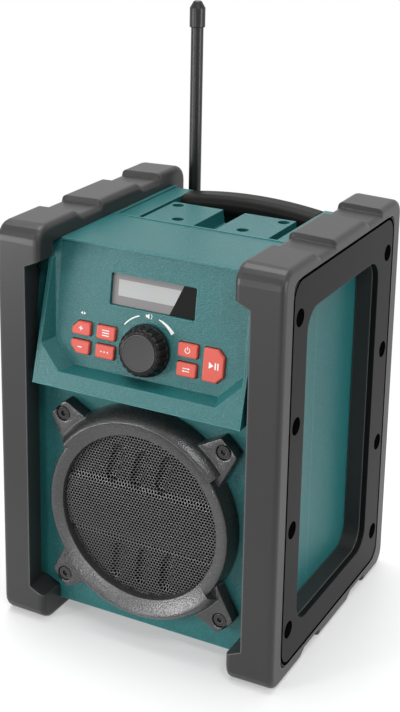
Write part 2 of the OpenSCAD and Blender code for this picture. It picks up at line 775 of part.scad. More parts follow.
// Keys: x, v, width, height, cut corners
keys = [
  [-outer_x, row_a, cap_w, key_h, [big_cut, corner_cut, corner_cut, corner_cut]],
  [-outer_x, row_b, cap_w, key_h, [corner_cut, corner_cut, corner_cut, big_cut]],
  [-inner_x, row_a, cap_w, key_h, square_cuts],
  [-inner_x, row_b, cap_w, key_h, square_cuts],
  [inner_x, row_a, cap_w, key_h, square_cuts],
  [inner_x, row_b, cap_w, key_h, square_cuts],
  [outer_x, -key_low, enter_w, enter_h, [corner_cut, big_cut, big_cut, corner_cut]]];

flange_gap = 0.15;
flange_t = 1.2;
flange_out = 1;
flange_room = 0.4;
key_back = panel_t + flange_gap + flange_t;
sheet_w = -(key_back + key_travel + 0.2);
sheet_t = 2;
board_w0 = sheet_w - sheet_t;
key_board_t = 1.6;

// One key: cap through the panel, flange behind it
cap_step = 0.4;
module key(i) {
  k = keys[i];
  on_panel(k[0], k[1], 0) {
    translate([0, 0, -panel_t - flange_gap - eps])
      linear_extrude(panel_t + flange_gap + eps + key_proud - cap_step) key_outline(k[2], k[3], k[4]);
    translate([0, 0, key_proud - cap_step - eps]) linear_extrude(cap_step + eps)
      key_outline(k[2] - 2 * cap_step, k[3] - 2 * cap_step, k[4]);
    translate([0, 0, -key_back]) linear_extrude(flange_t)
      key_outline(k[2] + 2 * flange_out, k[3] + 2 * flange_out, k[4]);
  }
}
module plus_key() { color(coral) key(0); }
module minus_key() { color(coral) key(1); }
module info_key() { color(coral) key(2); }
module preset_key() { color(coral) key(3); }
module power_key() { color(coral) key(4); }
module source_key() { color(coral) key(5); }
module enter_key() { color(coral) key(6); }

// Window of the display, grown by k
window_w = lcd_w * panel_s;
module window_outline(k) {
  rounded([-window_w / 2 - k, -lcd_h / 2 - k], [window_w / 2 + k, lcd_h / 2 + k], 1.2 + k);
}

bush_r = shaft_d / 2 + 1.6;
bush_h = 1;
post_r = 2.4;
post_x = aperture_hw - 5;
module board_posts() {
  for (x = [-post_x, post_x], v = [lcd_v - 15, lcd_v + 11]) on_panel(x, v, board_w0)
    cylinder(h = -board_w0 - panel_t + eps, r = post_r);
}

core_t = 3;
pocket_l = 12;
rim_step = 1.2;
rim_end_slope = 0.65;
function rim_end_z(x) = shoulder_z - fit_gap - rim_end_slope * (x - neck_hw + brow_in);
module console() {
  color(teal) difference() {
    union() {
      intersection() {
        along_x(-console_hw, console_hw) polygon([
          [rim_low_y, console_z], [rim_top_y, roof_z], [rim_top_y + lip_t, roof_z],
          [rim_top_y + lip_t, roof_under - fit_gap], [back_at(roof_under), roof_under - fit_gap],
          [front_y, back_z], [front_y, console_z]]);
        along_y(-hd, 0) polygon([
          [-console_hw, 0], [console_hw, 0], [console_hw, brow_z(console_hw)],
          [neck_hw, brow_z(neck_hw)], [neck_hw, height_h], [-neck_hw, height_h],
          [-neck_hw, brow_z(neck_hw)], [-console_hw, brow_z(console_hw)]]);
      }
      board_posts();
    }
    console_recess();
    // the side rims end in a shallow step below the brow
    for (s = [-1, 1]) intersection() {
      along_y(-hd, 0) polygon([
        [s * (neck_hw - 1), rim_end_z(neck_hw - 1)], [s * (console_hw + 1), rim_end_z(console_hw + 1)],
        [s * (console_hw + 1), roof_z], [s * (neck_hw - 1), roof_z]]);
      along_x(-hw, hw) polygon([
        [-hd, console_z], [rim_low_y + rim_step, console_z], [rim_top_y + rim_step, roof_z],
        [-hd, roof_z]]);
    }
    // cored lower rim, open to the back
    along_x(-lip_hw + core_t, lip_hw - core_t) polygon([
      [rim_at(console_z + core_t) + core_t, console_z + core_t], [front_y + 1, console_z + core_t],
      [front_y + 1, console_z + low_rim - core_t],
      [rim_at(console_z + low_rim - core_t) + core_t, console_z + low_rim - core_t]]);
    for (k = keys) on_panel(k[0], k[1], -panel_t - 1) linear_extrude(panel_t + 2)
      key_outline(k[2] + 2 * key_gap, k[3] + 2 * key_gap, k[4]);
    on_panel(0, 0, -panel_t - 1) cylinder(h = panel_t + 2, r = bush_r + 0.2);
    on_panel(lcd_x, lcd_v, -panel_t - 1) linear_extrude(panel_t + 2) window_outline(0);
    // clearance for the flanges where the panel's back meets the solid lower corner
    for (k = keys) on_panel(k[0], k[1], -panel_t - pocket_l) linear_extrude(pocket_l)
      key_outline(k[2] + 2 * (flange_out + flange_room), k[3] + 2 * (flange_out + flange_room), k[4]);
  }
}

lens_t = 1.2;
lens_gap = 0.15;
module display_lens() {
  color([0.05, 0.05, 0.06]) on_panel(lcd_x, lcd_v, -lens_sink - lens_t) linear_extrude(lens_t)
    window_outline(-lens_gap);
}

module_out = 3;
module display_module() {
  top_w = -max(lens_sink + lens_t, panel_t + 0.2);
  color([0.6, 0.62, 0.6]) on_panel(lcd_x, lcd_v, board_w0)
    translate([-window_w / 2 - module_out, -lcd_h / 2 - module_out, 0])
      cube([window_w + 2 * module_out, lcd_h + 2 * module_out, top_w - board_w0]);
}

encoder_room = 9;
membrane_x = outer_x + 9;
membrane_v = key_pitch / 2 + 7;
module key_membrane() {
  color(graphite) on_panel(0, 0, board_w0) difference() {
    linear_extrude(sheet_t) rounded([-membrane_x, -membrane_v], [membrane_x, membrane_v], 2);
    translate([-encoder_room, -encoder_room, -1]) cube([2 * encoder_room, 2 * encoder_room, sheet_t + 2]);
  }
}

module key_board() {
  color(board_green) on_panel(0, 0, board_w0 - key_board_t) linear_extrude(key_board_t)
    rounded([-aperture_hw + 1, -aperture_low + 1], [aperture_hw - 1, aperture_top - 1], 2);
}

encoder_hw = 7;
module encoder_body() {
  color(steel) on_panel() difference() {
    union() {
      translate([-encoder_hw, -encoder_hw, board_w0])
        cube([2 * encoder_hw, 2 * encoder_hw, -board_w0 - panel_t - 0.1]);
      translate([0, 0, -panel_t - 1]) cylinder(h = panel_t + 1 + bush_h, r = bush_r);
    }
    translate([0, 0, board_w0 + 1]) cylinder(h = deep, r = shaft_d / 2 + run_gap);
  }
}

knob_lift = 0.6;
shaft_in = knob_h - 2.5;
module encoder_shaft() {
  color(steel) on_panel(0, 0, board_w0 + 1.2) cylinder(h = shaft_in - board_w0 - 1.2, r = shaft_d / 2);
}

// Volume knob: fluted skirt that narrows to a flat face with a raised rim
module volume_knob() {
  skirt = knob_d / 2 * panel_s;
  face = knob_face_d / 2 * panel_s;
  flute_r = skirt * PI / knob_flutes * 0.62;
  color(graphite) on_panel() difference() {
    rotate_extrude() polygon([
      [0, knob_lift], [skirt, knob_lift], [skirt, knob_lift + 1.6], [skirt - 1, knob_lift + 2],
      [face + 0.9, knob_h - 1.6], [face, knob_h], [face - 1.4, knob_h], [face - 1.8, knob_h - 0.5],
      [0, knob_h - 0.5]]);
    for (i = [0:knob_flutes - 1]) rotate([0, 0, 360 * (i + 0.5) / knob_flutes])
      translate([skirt + flute_r * 0.45, 0, knob_lift + 2.6]) cylinder(h = knob_h, r = flute_r, $fn = 24);
    translate([0, 0, -1]) cylinder(h = shaft_in + 1, r = shaft_d / 2 + run_gap);
    translate([0, 0, -1]) cylinder(h = 1 + bush_h + 0.4, r = bush_r + 0.4);
  }
}

// ---- Speaker, in a frame with z out of the speaker face ----

module on_speaker() {
  translate([0, front_y, speaker_z]) rotate([90, 0, 0]) children();
}
flange_r = mesh_r + 2.4;
inner_bevel = 6.5;
side_flare = 1.5;
ring_head_d = 8.4;
ring_bore_d = 10.6;
ring_bore_h = 3;
lug_l = ring_r + 19;
lug_tip = 7.8;
lug_root = 15;

side_h = ring_h - side_drop;
side_root = side_r + side_flare;
module speaker_ring() {
  color(charcoal) on_speaker() difference() {
    union() {
      difference() {
        rotate_extrude($fn = 128) polygon([
          [mesh_r, 0], [mesh_r, ring_h - inner_bevel], [face_r, ring_h], [ring_r, ring_h],
          [ring_r + root_flare, 0]]);
        // lower and narrower towards the sides
        for (a = [0, 180]) rotate([0, 0, a - side_angle])
          rotate_extrude(angle = 2 * side_angle, $fn = 128) polygon([
            [mesh_r - 2, ring_h + 1], [mesh_r - 2, side_h], [side_r, side_h], [side_root, 0],
            [side_root, -1], [ring_r + root_flare + 3, -1], [ring_r + root_flare + 3, ring_h + 1]]);
      }
      for (a = [45:90:315]) rotate([0, 0, a]) linear_extrude(lug_h) polygon([
        [mesh_r + 4, -lug_root], [side_r, -lug_root], [lug_l - 1.5, -lug_tip - 0.6],
        [lug_l, -lug_tip + 1], [lug_l, lug_tip - 1], [lug_l - 1.5, lug_tip + 0.6],
        [side_r, lug_root], [mesh_r + 4, lug_root]]);
    }
    // room for the grille pan behind the lip
    translate([0, 0, -1]) cylinder(h = 1 + mesh_h, r = flange_r + 0.1, $fn = 128);
    for (x = [-lug_x, lug_x], y = [-lug_x, lug_x]) translate([x, y, 0]) {
      translate([0, 0, -1]) cylinder(h = lug_h + 2, r = pilot_r);
      translate([0, 0, lug_h - ring_bore_h]) cylinder(h = ring_bore_h + 1, r = ring_bore_d / 2);
    }
  }
}

basket_t = 1.6;
ring_screw_l = lug_h - ring_bore_h + wall_t + basket_t + 1;
module ring_screws() {
  color(steel) at_ring_screws() translate([0, front_y - lug_h + ring_bore_h, 0]) rotate([0, 0, -90])
    difference() {
      union() {
        rod_x(0, 0, 0, head_h, ring_head_d / 2);
        rod_x(0, 0, -ring_screw_l, eps, shank_d / 2);
      }
      translate([head_h - 1.4, 0, 0]) rotate([0, 90, 0]) cylinder(h = 3, r = 2.3, $fn = 6);
    }
}

// Pattern of the grille, drawn for a pan of the radius drawn_r and scaled with the pan.
// Capsules pressed into it: middle (x, y) and slant
pan_r = mesh_r - 0.8;
drawn_r = 54.7;
grille_s = pan_r / drawn_r;
capsule_hl = 9 * grille_s;
capsule_r = capsule_w / 2 * grille_s;
band_h = band_hz * grille_s;
capsules = [for (i = [-1:1]) each [
  [grille_s * (i * capsule_pitch - 1.6), grille_s * 32.5, 16],
  [grille_s * (i * capsule_pitch + 1.2), grille_s * -37, 9]]];
fold_w = 2;
module capsule(r) {
  for (q = capsules) translate([q[0], q[1], mesh_h + capsule_r / 2]) rotate([0, 0, -q[2]]) {
    rotate([-90, 0, 0]) translate([0, 0, -capsule_hl]) cylinder(h = 2 * capsule_hl, r = r, $fn = 24);
    for (s = [-1, 1]) translate([0, s * capsule_hl, 0]) sphere(r, $fn = 24);
  }
}

function capsule_gap(p, q) =
  let (d = [p[0] - q[0], p[1] - q[1]], u = [sin(q[2]), cos(q[2])],
       t = max(-capsule_hl, min(capsule_hl, d * u)))
  norm(d - t * u);
function hole_free(p) =
  norm(p) < pan_r - hole_d && abs(abs(p[1]) - band_h) > fold_w / 2 + hole_d * 0.8 &&
  min([for (q = capsules) capsule_gap(p, q)]) > capsule_r + hole_d * 0.7;

// Perforation: a staggered field that keeps clear of folds and capsules
module perforation() {
  rise = hole_pitch * sqrt(3) / 2;
  n = ceil(pan_r / rise);
  for (j = [-n:n], i = [-n:n]) let (p = [(i + (abs(j) % 2) / 2) * hole_pitch, j * rise])
    if (hole_free(p)) translate(p) circle(hole_d / 2, $fn = 16);
}

// Grille: a pressed pan whose middle band stands forward between two folds
module speaker_grille() {
  f = fold_w / 2;
  up = mesh_h + press_h;
  low = mesh_h - mesh_t;
  color(graphite) on_speaker() difference() {
    union() {
      intersection() {
        rotate([90, 0, 90]) translate([0, 0, -mesh_r]) linear_extrude(2 * mesh_r) polygon([
          [-mesh_r, low], [-band_h - f, low], [-band_h + f, up - mesh_t], [band_h - f, up - mesh_t],
          [band_h + f, low], [mesh_r, low], [mesh_r, mesh_h], [band_h + f, mesh_h],
          [band_h - f, up], [-band_h + f, up], [-band_h - f, mesh_h], [-mesh_r, mesh_h]]);
        cylinder(h = 40, r = pan_r, $fn = 128);
      }
      // flat rim and skirt of the pan
      difference() {
        cylinder(h = mesh_h, r = flange_r, $fn = 128);
        translate([0, 0, -1]) cylinder(h = mesh_h + 2, r = pan_r - eps, $fn = 128);
        translate([0, 0, -1]) cylinder(h = mesh_h + 1 - mesh_t, r = flange_r - mesh_t, $fn = 128);
      }
      intersection() {
        capsule(capsule_r + mesh_t * 0.8);
        cylinder(h = mesh_h - eps, r = pan_r);
      }
    }
    capsule(capsule_r);
    linear_extrude(up + 1) perforation();
  }
}

basket_hw = lug_x + 7;
cone_r = speaker_hole_r - 2;
magnet_r = cone_r * 0.68;
magnet_t = 13;
basket_d = 32;
module speaker_basket() {
  color(graphite) on_speaker() translate([0, 0, -wall_t]) difference() {
    union() {
      translate([0, 0, -basket_t]) linear_extrude(basket_t)
        rounded([-basket_hw, -basket_hw], [basket_hw, basket_hw], 14);
      rotate_extrude() polygon([
        [cone_r + 3, -eps], [cone_r + 3, -6], [magnet_r + 2, -basket_d], [magnet_r - 6, -basket_d],
        [magnet_r - 6, -basket_d + 2], [magnet_r, -basket_d + 2], [cone_r + 1, -6], [cone_r + 1, -eps]]);
    }
    translate([0, 0, -basket_t - 1]) cylinder(h = basket_t + 2, r = cone_r + 1);
    for (a = [0:60:300]) rotate([0, 0, a + 30]) translate([cone_r - 8, 0, -20])
      rotate([0, 90, 0]) cylinder(h = 20, r = 7.5);
    at_basket_holes();
  }
}
module at_basket_holes() {
  for (x = [-lug_x, lug_x], y = [-lug_x, lug_x]) translate([x, y, -basket_t - 1])
    cylinder(h = basket_t + 2, r = pilot_r);
}

// Paper cone with its rubber roll and dust cap
module speaker_cone() {
  cap_r = 13;
  cap_z = -25;
  cap_h = 6;
  coil_z = cap_z - 4.8;
  roll_w = 9;
  roll_h = 3;
  roll_z = -4;
  skin = 1.4;
  color([0.08, 0.08, 0.08]) on_speaker() translate([0, 0, -wall_t]) rotate_extrude() polygon(concat(
    [for (a = [90:-15:0]) [cap_r * cos(a), cap_z + cap_h * sin(a)]],
    [for (a = [180:-30:0]) [cone_r - roll_w / 2 * (1 - cos(a)), roll_z + roll_h * sin(a)]],
    [[cone_r + 0.8, roll_z], [cone_r + 0.8, roll_z - 1], [cone_r - roll_w, roll_z - skin],
     [cap_r, cap_z - skin], [cap_r, coil_z], [0, coil_z]]));
}

module speaker_magnet() {
  color(steel) on_speaker() translate([0, 0, -wall_t - basket_d - magnet_t])
    cylinder(h = magnet_t, r = magnet_r);
}

// ---- Handle ----

grip_corner = 6.5;
module handle_grip() {
  grip_a = asin(grip_hl / grip_r) + 1;
  mid = grip_r - grip_h / 2;
  color(charcoal) difference() {
    intersection() {
      translate([0, rod_y0, grip_top - grip_r]) rotate([90, 0, 0]) rotate([0, 0, 90 - grip_a])
        rotate_extrude(angle = 2 * grip_a, $fn = 256)
          rounded([mid - grip_h / 2, -grip_d / 2], [mid + grip_h / 2, grip_d / 2], grip_corner);
      translate([-grip_hl, -hd, 0]) cube([2 * grip_hl, depth_d, 2 * height_h]);
    }
    rod_x(rod_y0, rod_z0, -hw, hw, rod_d / 2 + run_gap);
  }
}

module handle_rod() {
  color(steel) rod_x(rod_y0, rod_z0, -rod_end, rod_end, rod_d / 2);
}

// ---- Electronics and sockets ----

module main_board() {
  color(board_green) difference() {
    translate([-board_w / 2, board_y, board_z]) cube([board_w, board_t, board_h]);
    board_bosses(board_y - 1, board_y + board_t + 1, 1.2);
  }
}

shield_size = [42, 7, 30];
module tuner_shield() {
  color(steel) translate([-board_w / 2 + 12, board_y - shield_size[1], board_z + board_h - 40])
    cube(shield_size);
}

dc_bore_r = 3.2;
aux_bore_r = 1.8;
socket_bore_l = 9;
module socket(x, r, bore_r) {
  y0 = board_y + board_t;
  y1 = rear_y - recess_t;
  difference() {
    rod_y(x, socket_z, y0, y1, r);
    rod_y(x, socket_z, y1 - socket_bore_l, y1 + 1, bore_r);
  }
}
module dc_socket() { color(graphite) socket(dc_x, dc_r, dc_bore_r); }
module aux_socket() { color(graphite) socket(aux_x, aux_r, aux_bore_r); }

// Rubber flap over the sockets, hung from a bead along its top
flap_axis_y = rear_y - flap_t / 2;
flap_axis_z = socket_z + flap_h / 2 + flap_pivot / 2;
bead_r = 0.85;
module socket_flap() {
  color(graphite) {
    translate([flap_x - flap_w / 2, flap_axis_y - bead_r, socket_z - flap_h / 2])
      cube([flap_w, 2 * bead_r, flap_axis_z - socket_z + flap_h / 2]);
    rod_x(flap_axis_y, flap_axis_z, flap_x - flap_w / 2, flap_x + flap_w / 2, bead_r);
    // finger tab at the lower edge
    translate([flap_x - 5, flap_axis_y + bead_r - eps, socket_z - flap_h / 2 + 0.6]) cube([10, 1.2, 2]);
  }
}

// ---- Battery bay ----

cell_z = [for (i = [0, 1]) bay_z + 0.3 + cell_d / 2 + i * (cell_d + 0.5)];
cell_y = bay_y + 0.3 + cell_d / 2;
nub_r = 4.5;
nub_l = 1.4;
contact_w = 20;
contact_t = 0.5;
module battery_cells() {
  color([0.75, 0.62, 0.25]) for (z = cell_z, s = [-1, 1]) {
    rod_x(cell_y, z, s > 0 ? 0.1 : -cell_l, s > 0 ? cell_l - nub_l : -nub_l, cell_d / 2);
    rod_x(cell_y, z, s > 0 ? cell_l - nub_l - eps : -nub_l - eps, s > 0 ? cell_l : -0.1, nub_r);
  }
}

module battery_contacts() {
  color(steel) for (z = cell_z, s = [-1, 1]) {
    translate([s > 0 ? bay_hw - contact_t : -bay_hw, cell_y - contact_w / 2, z - contact_w / 2])
      cube([contact_t, contact_w, contact_w]);
    translate([s * (cell_l + 0.1), cell_y, z]) rotate([0, s * 90, 0])
      cylinder(h = bay_hw - contact_t - cell_l - 0.1 + eps, r1 = nub_r, r2 = 8);
  }
}

module battery_door() {
  arm_t = 2.6;
  color(teal) difference() {
    union() {
      translate([-door_hw + door_gap, rear_y - door_t + 0.2, door_low + door_gap])
        cube([2 * (door_hw - door_gap), door_t - 0.2, door_top - door_low - 2 * door_gap]);
      for (s = [-1, 1], t = [-1, 1])
        let (x = s * knuckle_x + t * (knuckle_w + door_gap), w = knuckle_w - door_gap) {
          rod_x(pin_y, pin_z, x - w / 2, x + w / 2, knuckle_r);
          translate([x - w / 2, rear_y + 0.3, pin_z]) cube([w, arm_t, door_low - pin_z + 6]);
          translate([x - w / 2, rear_y - 1, door_low + door_gap]) cube([w, arm_t + 1.3, 6 - door_gap]);
        }
      // raised ribs for the thumb at the upper edge
      for (i = [0:3]) translate([-12, rear_y - eps, door_top - 8 - 3 * i]) cube([24, 0.9, 1.4]);
    }
    for (s = [-1, 1]) rod_x(pin_y, pin_z, s * knuckle_x - 2 * knuckle_w, s * knuckle_x + 2 * knuckle_w,
                            pin_d / 2 + run_gap);
  }
}

module door_pins() {
  half = 1.5 * knuckle_w + door_gap;
  color(steel) for (s = [-1, 1]) rod_x(pin_y, pin_z, s * knuckle_x - half, s * knuckle_x + half, pin_d / 2);
}

// ---- Antenna: swivel base, forked knuckle, folding rod ----

ant_y = rear_y + antenna_back;
foot_z = pivot_z - 9;
stem_r = 3;
foot_r = 6;
fork_in = 3.2;
fork_out = 6;
fork_r = 5;
fold_pin_r = 1.5;
disc_t = 2;
lug_hw = 3;
rod_start = 6;
foot_hw = 5;
module antenna_base() {
  color(graphite) difference() {
    union() {
      translate([-antenna_x - foot_hw, rear_y, foot_z - 24]) cube([2 * foot_hw, 3, 24]);
      translate([-antenna_x - foot_hw + 1, rear_y + 1, foot_z - 12])
        cube([2 * foot_hw - 2, antenna_back - 1, 11]);
      translate([-antenna_x, ant_y, foot_z - 12]) cylinder(h = 12, r = foot_r);
    }
    translate([-antenna_x, ant_y, foot_z - 9]) cylinder(h = 10, r = stem_r + run_gap);
  }
}

module antenna_knuckle() {
  color(graphite) translate([-antenna_x, ant_y, 0]) difference() {
    union() {
      translate([0, 0, foot_z - 8.5]) cylinder(h = 9, r = stem_r);
      translate([0, 0, foot_z + 0.1]) cylinder(h = disc_t, r = foot_r);
      for (s = [-1, 1]) {
        rod_x(0, pivot_z, s > 0 ? fork_in : -fork_out, s > 0 ? fork_out : -fork_in, fork_r);
        intersection() {
          translate([s > 0 ? fork_in : -fork_out, -fork_r, foot_z + disc_t])
            cube([fork_out - fork_in, 2 * fork_r, pivot_z - foot_z - disc_t]);
          translate([0, 0, foot_z]) cylinder(h = 20, r = foot_r + 0.8);
        }
      }
    }
    rod_x(0, pivot_z, -foot_r - 1, foot_r + 1, fold_pin_r + run_gap);
  }
}

module antenna_pin() {
  color(steel) translate([-antenna_x, ant_y, 0]) rod_x(0, pivot_z, -fork_out, fork_out, fold_pin_r);
}

tip_z = pivot_z + antenna_l - tip_l;
spigot_r = 2.4;
spigot_l = 9;
module antenna_rod() {
  color(graphite) translate([-antenna_x, ant_y, 0]) difference() {
    union() {
      rod_x(0, pivot_z, -lug_hw, lug_hw, 4.3);
      translate([-lug_hw, -3.4, pivot_z]) cube([2 * lug_hw, 6.8, rod_start + 1]);
      translate([0, 0, pivot_z + rod_start]) cylinder(h = antenna_l - tip_l - rod_start, r = antenna_d / 2);
      translate([0, 0, tip_z - eps]) cylinder(h = spigot_l, r = spigot_r);
    }
    rod_x(0, pivot_z, -foot_r - 1, foot_r + 1, fold_pin_r + run_gap);
  }
}

module antenna_tip() {
  cone_l = 5;
  color(graphite) translate([-antenna_x, ant_y, tip_z]) difference() {
    rotate_extrude() polygon([
      [0, 0], [tip_d / 2 - 0.4, 0], [tip_d / 2, 0.6], [tip_d / 2, tip_l - cone_l],
      [tip_d / 2 - 2.6, tip_l - 0.5], [tip_d / 2 - 3.3, tip_l], [0, tip_l]]);
    translate([0, 0, -1]) cylinder(h = spigot_l + 1.2, r = spigot_r + run_gap);
  }
}

left_cage();
right_cage();
left_side_plate();
right_side_plate();
left_plate_screws();
right_plate_screws();
front_housing();
rear_housing();
top_deck();
deck_screws();
housing_screws();
console();
display_lens();
display_module();
plus_key();
minus_key();
info_key();
preset_key();
power_key();
source_key();
enter_key();
key_membrane();
key_board();
volume_knob();
encoder_shaft();
encoder_body();
speaker_ring();
ring_screws();
speaker_grille();
speaker_basket();
speaker_cone();
speaker_magnet();
handle_grip();
handle_rod();
main_board();
tuner_shield();
dc_socket();
aux_socket();
socket_flap();
battery_cells();
battery_contacts();
battery_door();
door_pins();
antenna_base();
antenna_knuckle();
antenna_pin();
antenna_rod();
antenna_tip();
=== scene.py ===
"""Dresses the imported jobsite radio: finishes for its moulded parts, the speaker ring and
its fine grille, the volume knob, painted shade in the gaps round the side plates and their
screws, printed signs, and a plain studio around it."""

import json
import math

import bmesh
import bpy
import numpy as np
from bpy.props import FloatProperty, FloatVectorProperty, IntProperty, PointerProperty
from mathutils import Matrix, Vector


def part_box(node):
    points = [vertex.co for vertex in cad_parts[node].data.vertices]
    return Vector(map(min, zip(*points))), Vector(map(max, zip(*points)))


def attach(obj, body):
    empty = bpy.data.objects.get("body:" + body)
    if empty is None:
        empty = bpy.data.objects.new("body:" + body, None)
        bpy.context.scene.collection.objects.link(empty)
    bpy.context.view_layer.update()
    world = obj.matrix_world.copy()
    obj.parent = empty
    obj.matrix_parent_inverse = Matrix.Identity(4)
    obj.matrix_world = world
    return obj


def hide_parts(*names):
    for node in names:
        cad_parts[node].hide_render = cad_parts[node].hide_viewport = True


bl_info = {
    "name": "Jobsite Radio",
    "version": (1, 0, 0),
    "blender": (4, 5, 0),
    "location": "View3D > Sidebar > Radio",
    "description": "Finishes, fine pieces and studio for a jobsite radio",
    "category": "Object",
}

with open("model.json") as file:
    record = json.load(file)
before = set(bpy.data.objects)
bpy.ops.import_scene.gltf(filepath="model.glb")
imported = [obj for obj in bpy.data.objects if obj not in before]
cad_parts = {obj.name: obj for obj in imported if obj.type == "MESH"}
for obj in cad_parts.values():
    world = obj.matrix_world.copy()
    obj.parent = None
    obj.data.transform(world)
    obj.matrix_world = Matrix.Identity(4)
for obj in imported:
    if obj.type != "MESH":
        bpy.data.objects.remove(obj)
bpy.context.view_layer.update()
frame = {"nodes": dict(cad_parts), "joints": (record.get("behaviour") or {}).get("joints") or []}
NODES = frame["nodes"]
MM = 0.001
SHARP_ANGLE = math.radians(35)
# colour sockets of a Mix node, whose names its other kinds share
COLOUR_A, COLOUR_B, COLOUR_OUT = 6, 7, 2


def colour(name, description, value):
    return FloatVectorProperty(
        name=name, description=description, subtype="COLOR", size=3, min=0.0, max=1.0,
        default=value,
    )


def length(name, description, value):
    return FloatProperty(name=name, description=description, unit="LENGTH", min=0.0, default=value)


def watts(name, value):
    return FloatProperty(
        name=name, description="Power in watts", unit="POWER", min=0.0, default=value
    )


# ---- What a user would change ----


class RadioFinishes(bpy.types.PropertyGroup):
    """Colours of the radio's own materials"""

    housing: colour("Housing", "Green moulded housing", (0.0145, 0.117, 0.120))
    cage: colour("Cage", "Side cages and plates", (0.026, 0.026, 0.026))
    ring: colour("Speaker ring", "Coarse grained ring", (0.030, 0.030, 0.030))
    grille: colour("Grille", "Coated steel sheet", (0.105, 0.105, 0.105))
    key: colour("Keys", "Soft keys", (0.60, 0.072, 0.046))
    knob: colour("Knob", "Volume knob", (0.009, 0.009, 0.009))
    knob_face: colour("Knob face", "Disc in the knob", (0.024, 0.024, 0.024))
    grip: colour("Handle", "Rubber of the handle grip", (0.012, 0.0115, 0.011))
    antenna: colour("Antenna", "Rubber of the antenna", (0.012, 0.012, 0.012))
    ink: colour("Ink", "Printed signs", (0.82, 0.84, 0.83))
    # part of the display's pale tone is a painted reflection
    display: colour("Display", "Area that shows the station", (0.49, 0.49, 0.49))
    screw: colour("Screws", "Blackened screws", (0.006, 0.006, 0.006))


class RadioSizes(bpy.types.PropertyGroup):
    """Sizes of the pieces that are built here"""

    hole_pitch: length("Hole pitch", "Distance between the grille's holes", 2.2 * MM)
    hole_share: FloatProperty(
        name="Hole share", description="Hole width over hole pitch", subtype="FACTOR",
        min=0.2, max=0.9, default=0.82,
    )
    sheet: length("Sheet", "Thickness of the grille's sheet", 0.3 * MM)
    band_rise: length("Band rise", "Height of the grille's raised band", 2.2 * MM)
    band_half: length("Band half height", "Half height of the raised band", 19 * MM)
    flutes: IntProperty(
        name="Flutes", description="Flutes around the knob", min=6, max=60, default=20
    )
    ink_height: length("Ink height", "How far printed signs lie above the surface", 0.04 * MM)


class StudioSettings(bpy.types.PropertyGroup):
    """Camera and light"""

    lens: FloatProperty(name="Lens", description="Focal length in millimetres", default=72.264)
    place: FloatVectorProperty(
        name="Place", description="Where the camera stands", subtype="TRANSLATION",
        default=(0.418965, -0.813701, 0.545815),
    )
    turn: FloatVectorProperty(
        name="Turn", description="Camera rotation in degrees",
        default=(73.98205, -0.99015, 27.82213),
    )
    shift: FloatProperty(name="Shift", description="Vertical lens shift", default=-0.21067)
    ambient: FloatProperty(name="Ambient", description="Light from all sides", min=0, default=0.22)
    key_power: watts("Key light", 6.5)
    side_power: watts("Side light", 5.0)
    ring_power: watts("Ring light", 3.4)
    fold_power: watts("Fold light", 3.4)
    rim_power: watts("Rim light", 8.5)
    top_power: watts("Top light", 96.0)
    floor_white: FloatProperty(
        name="Floor white", description="Share of the floor that shows as plain white",
        subtype="FACTOR", min=0, max=1, default=0.35,
    )


# ---- Node helpers ----


def add(tree, kind, x=0, y=0, **values):
    node = tree.nodes.new(kind)
    node.location = (x, y)
    for name, value in values.items():
        setattr(node, name, value)
    return node


def put(node, **values):
    """Sets input values by socket name, with _ for a blank."""
    for name, value in values.items():
        node.inputs[name.replace("_", " ")].default_value = value


def maths(tree, operation, x, y, *values):
    """A Math node on up to three values, each a number or another node's output."""
    node = add(tree, "ShaderNodeMath", x, y, operation=operation)
    for socket, value in zip(node.inputs, values):
        if isinstance(value, (int, float)):
            socket.default_value = value
        else:
            tree.links.new(value, socket)
    return node.outputs[0]


def make_group(name, inputs, outputs):
    """An empty shader node group, with its input and output nodes."""
    tree = bpy.data.node_groups.new(name, "ShaderNodeTree")
    for label, kind, value in inputs:
        socket = tree.interface.new_socket(name=label, in_out="INPUT", socket_type=kind)
        socket.default_value = value
    for label, kind in outputs:
        tree.interface.new_socket(name=label, in_out="OUTPUT", socket_type=kind)
    return tree, add(tree, "NodeGroupInput", -900), add(tree, "NodeGroupOutput", 600)


def moulded_grain():
    """Spark-eroded pebble grain: a height, and a tone that follows it."""
    tree, inp, out = make_group(
        "moulded_grain",
        [("Size", "NodeSocketFloat", 0.001), ("Spread", "NodeSocketFloat", 0.5)],
        [("Height", "NodeSocketFloat"), ("Tone", "NodeSocketFloat")],
    )
    link = tree.links.new
    coords = add(tree, "ShaderNodeTexCoord", -900, -300)
    scale = maths(tree, "DIVIDE", -700, -100, 1.0, inp.outputs["Size"])
    pebbles = add(tree, "ShaderNodeTexVoronoi", -500, 100, feature="SMOOTH_F1")
    put(pebbles, Smoothness=0.6)
    warp = add(tree, "ShaderNodeTexNoise", -500, -250)
    put(warp, Detail=2.0, Roughness=0.6)
    for tex in (pebbles, warp):
        link(coords.outputs["Object"], tex.inputs["Vector"])
        link(scale, tex.inputs["Scale"])
    mix = add(tree, "ShaderNodeMix", -250, 0, data_type="FLOAT")
    link(inp.outputs["Spread"], mix.inputs["Factor"])
    link(pebbles.outputs["Distance"], mix.inputs["A"])
    link(warp.outputs["Fac"], mix.inputs["B"])
    tone = add(tree, "ShaderNodeMapRange", 0, -150)
    put(tone, From_Min=0.25, From_Max=0.75, To_Min=0.0, To_Max=1.0)
    link(mix.outputs["Result"], tone.inputs["Value"])
    link(mix.outputs["Result"], out.inputs["Height"])
    link(tone.outputs["Result"], out.inputs["Tone"])
    return tree


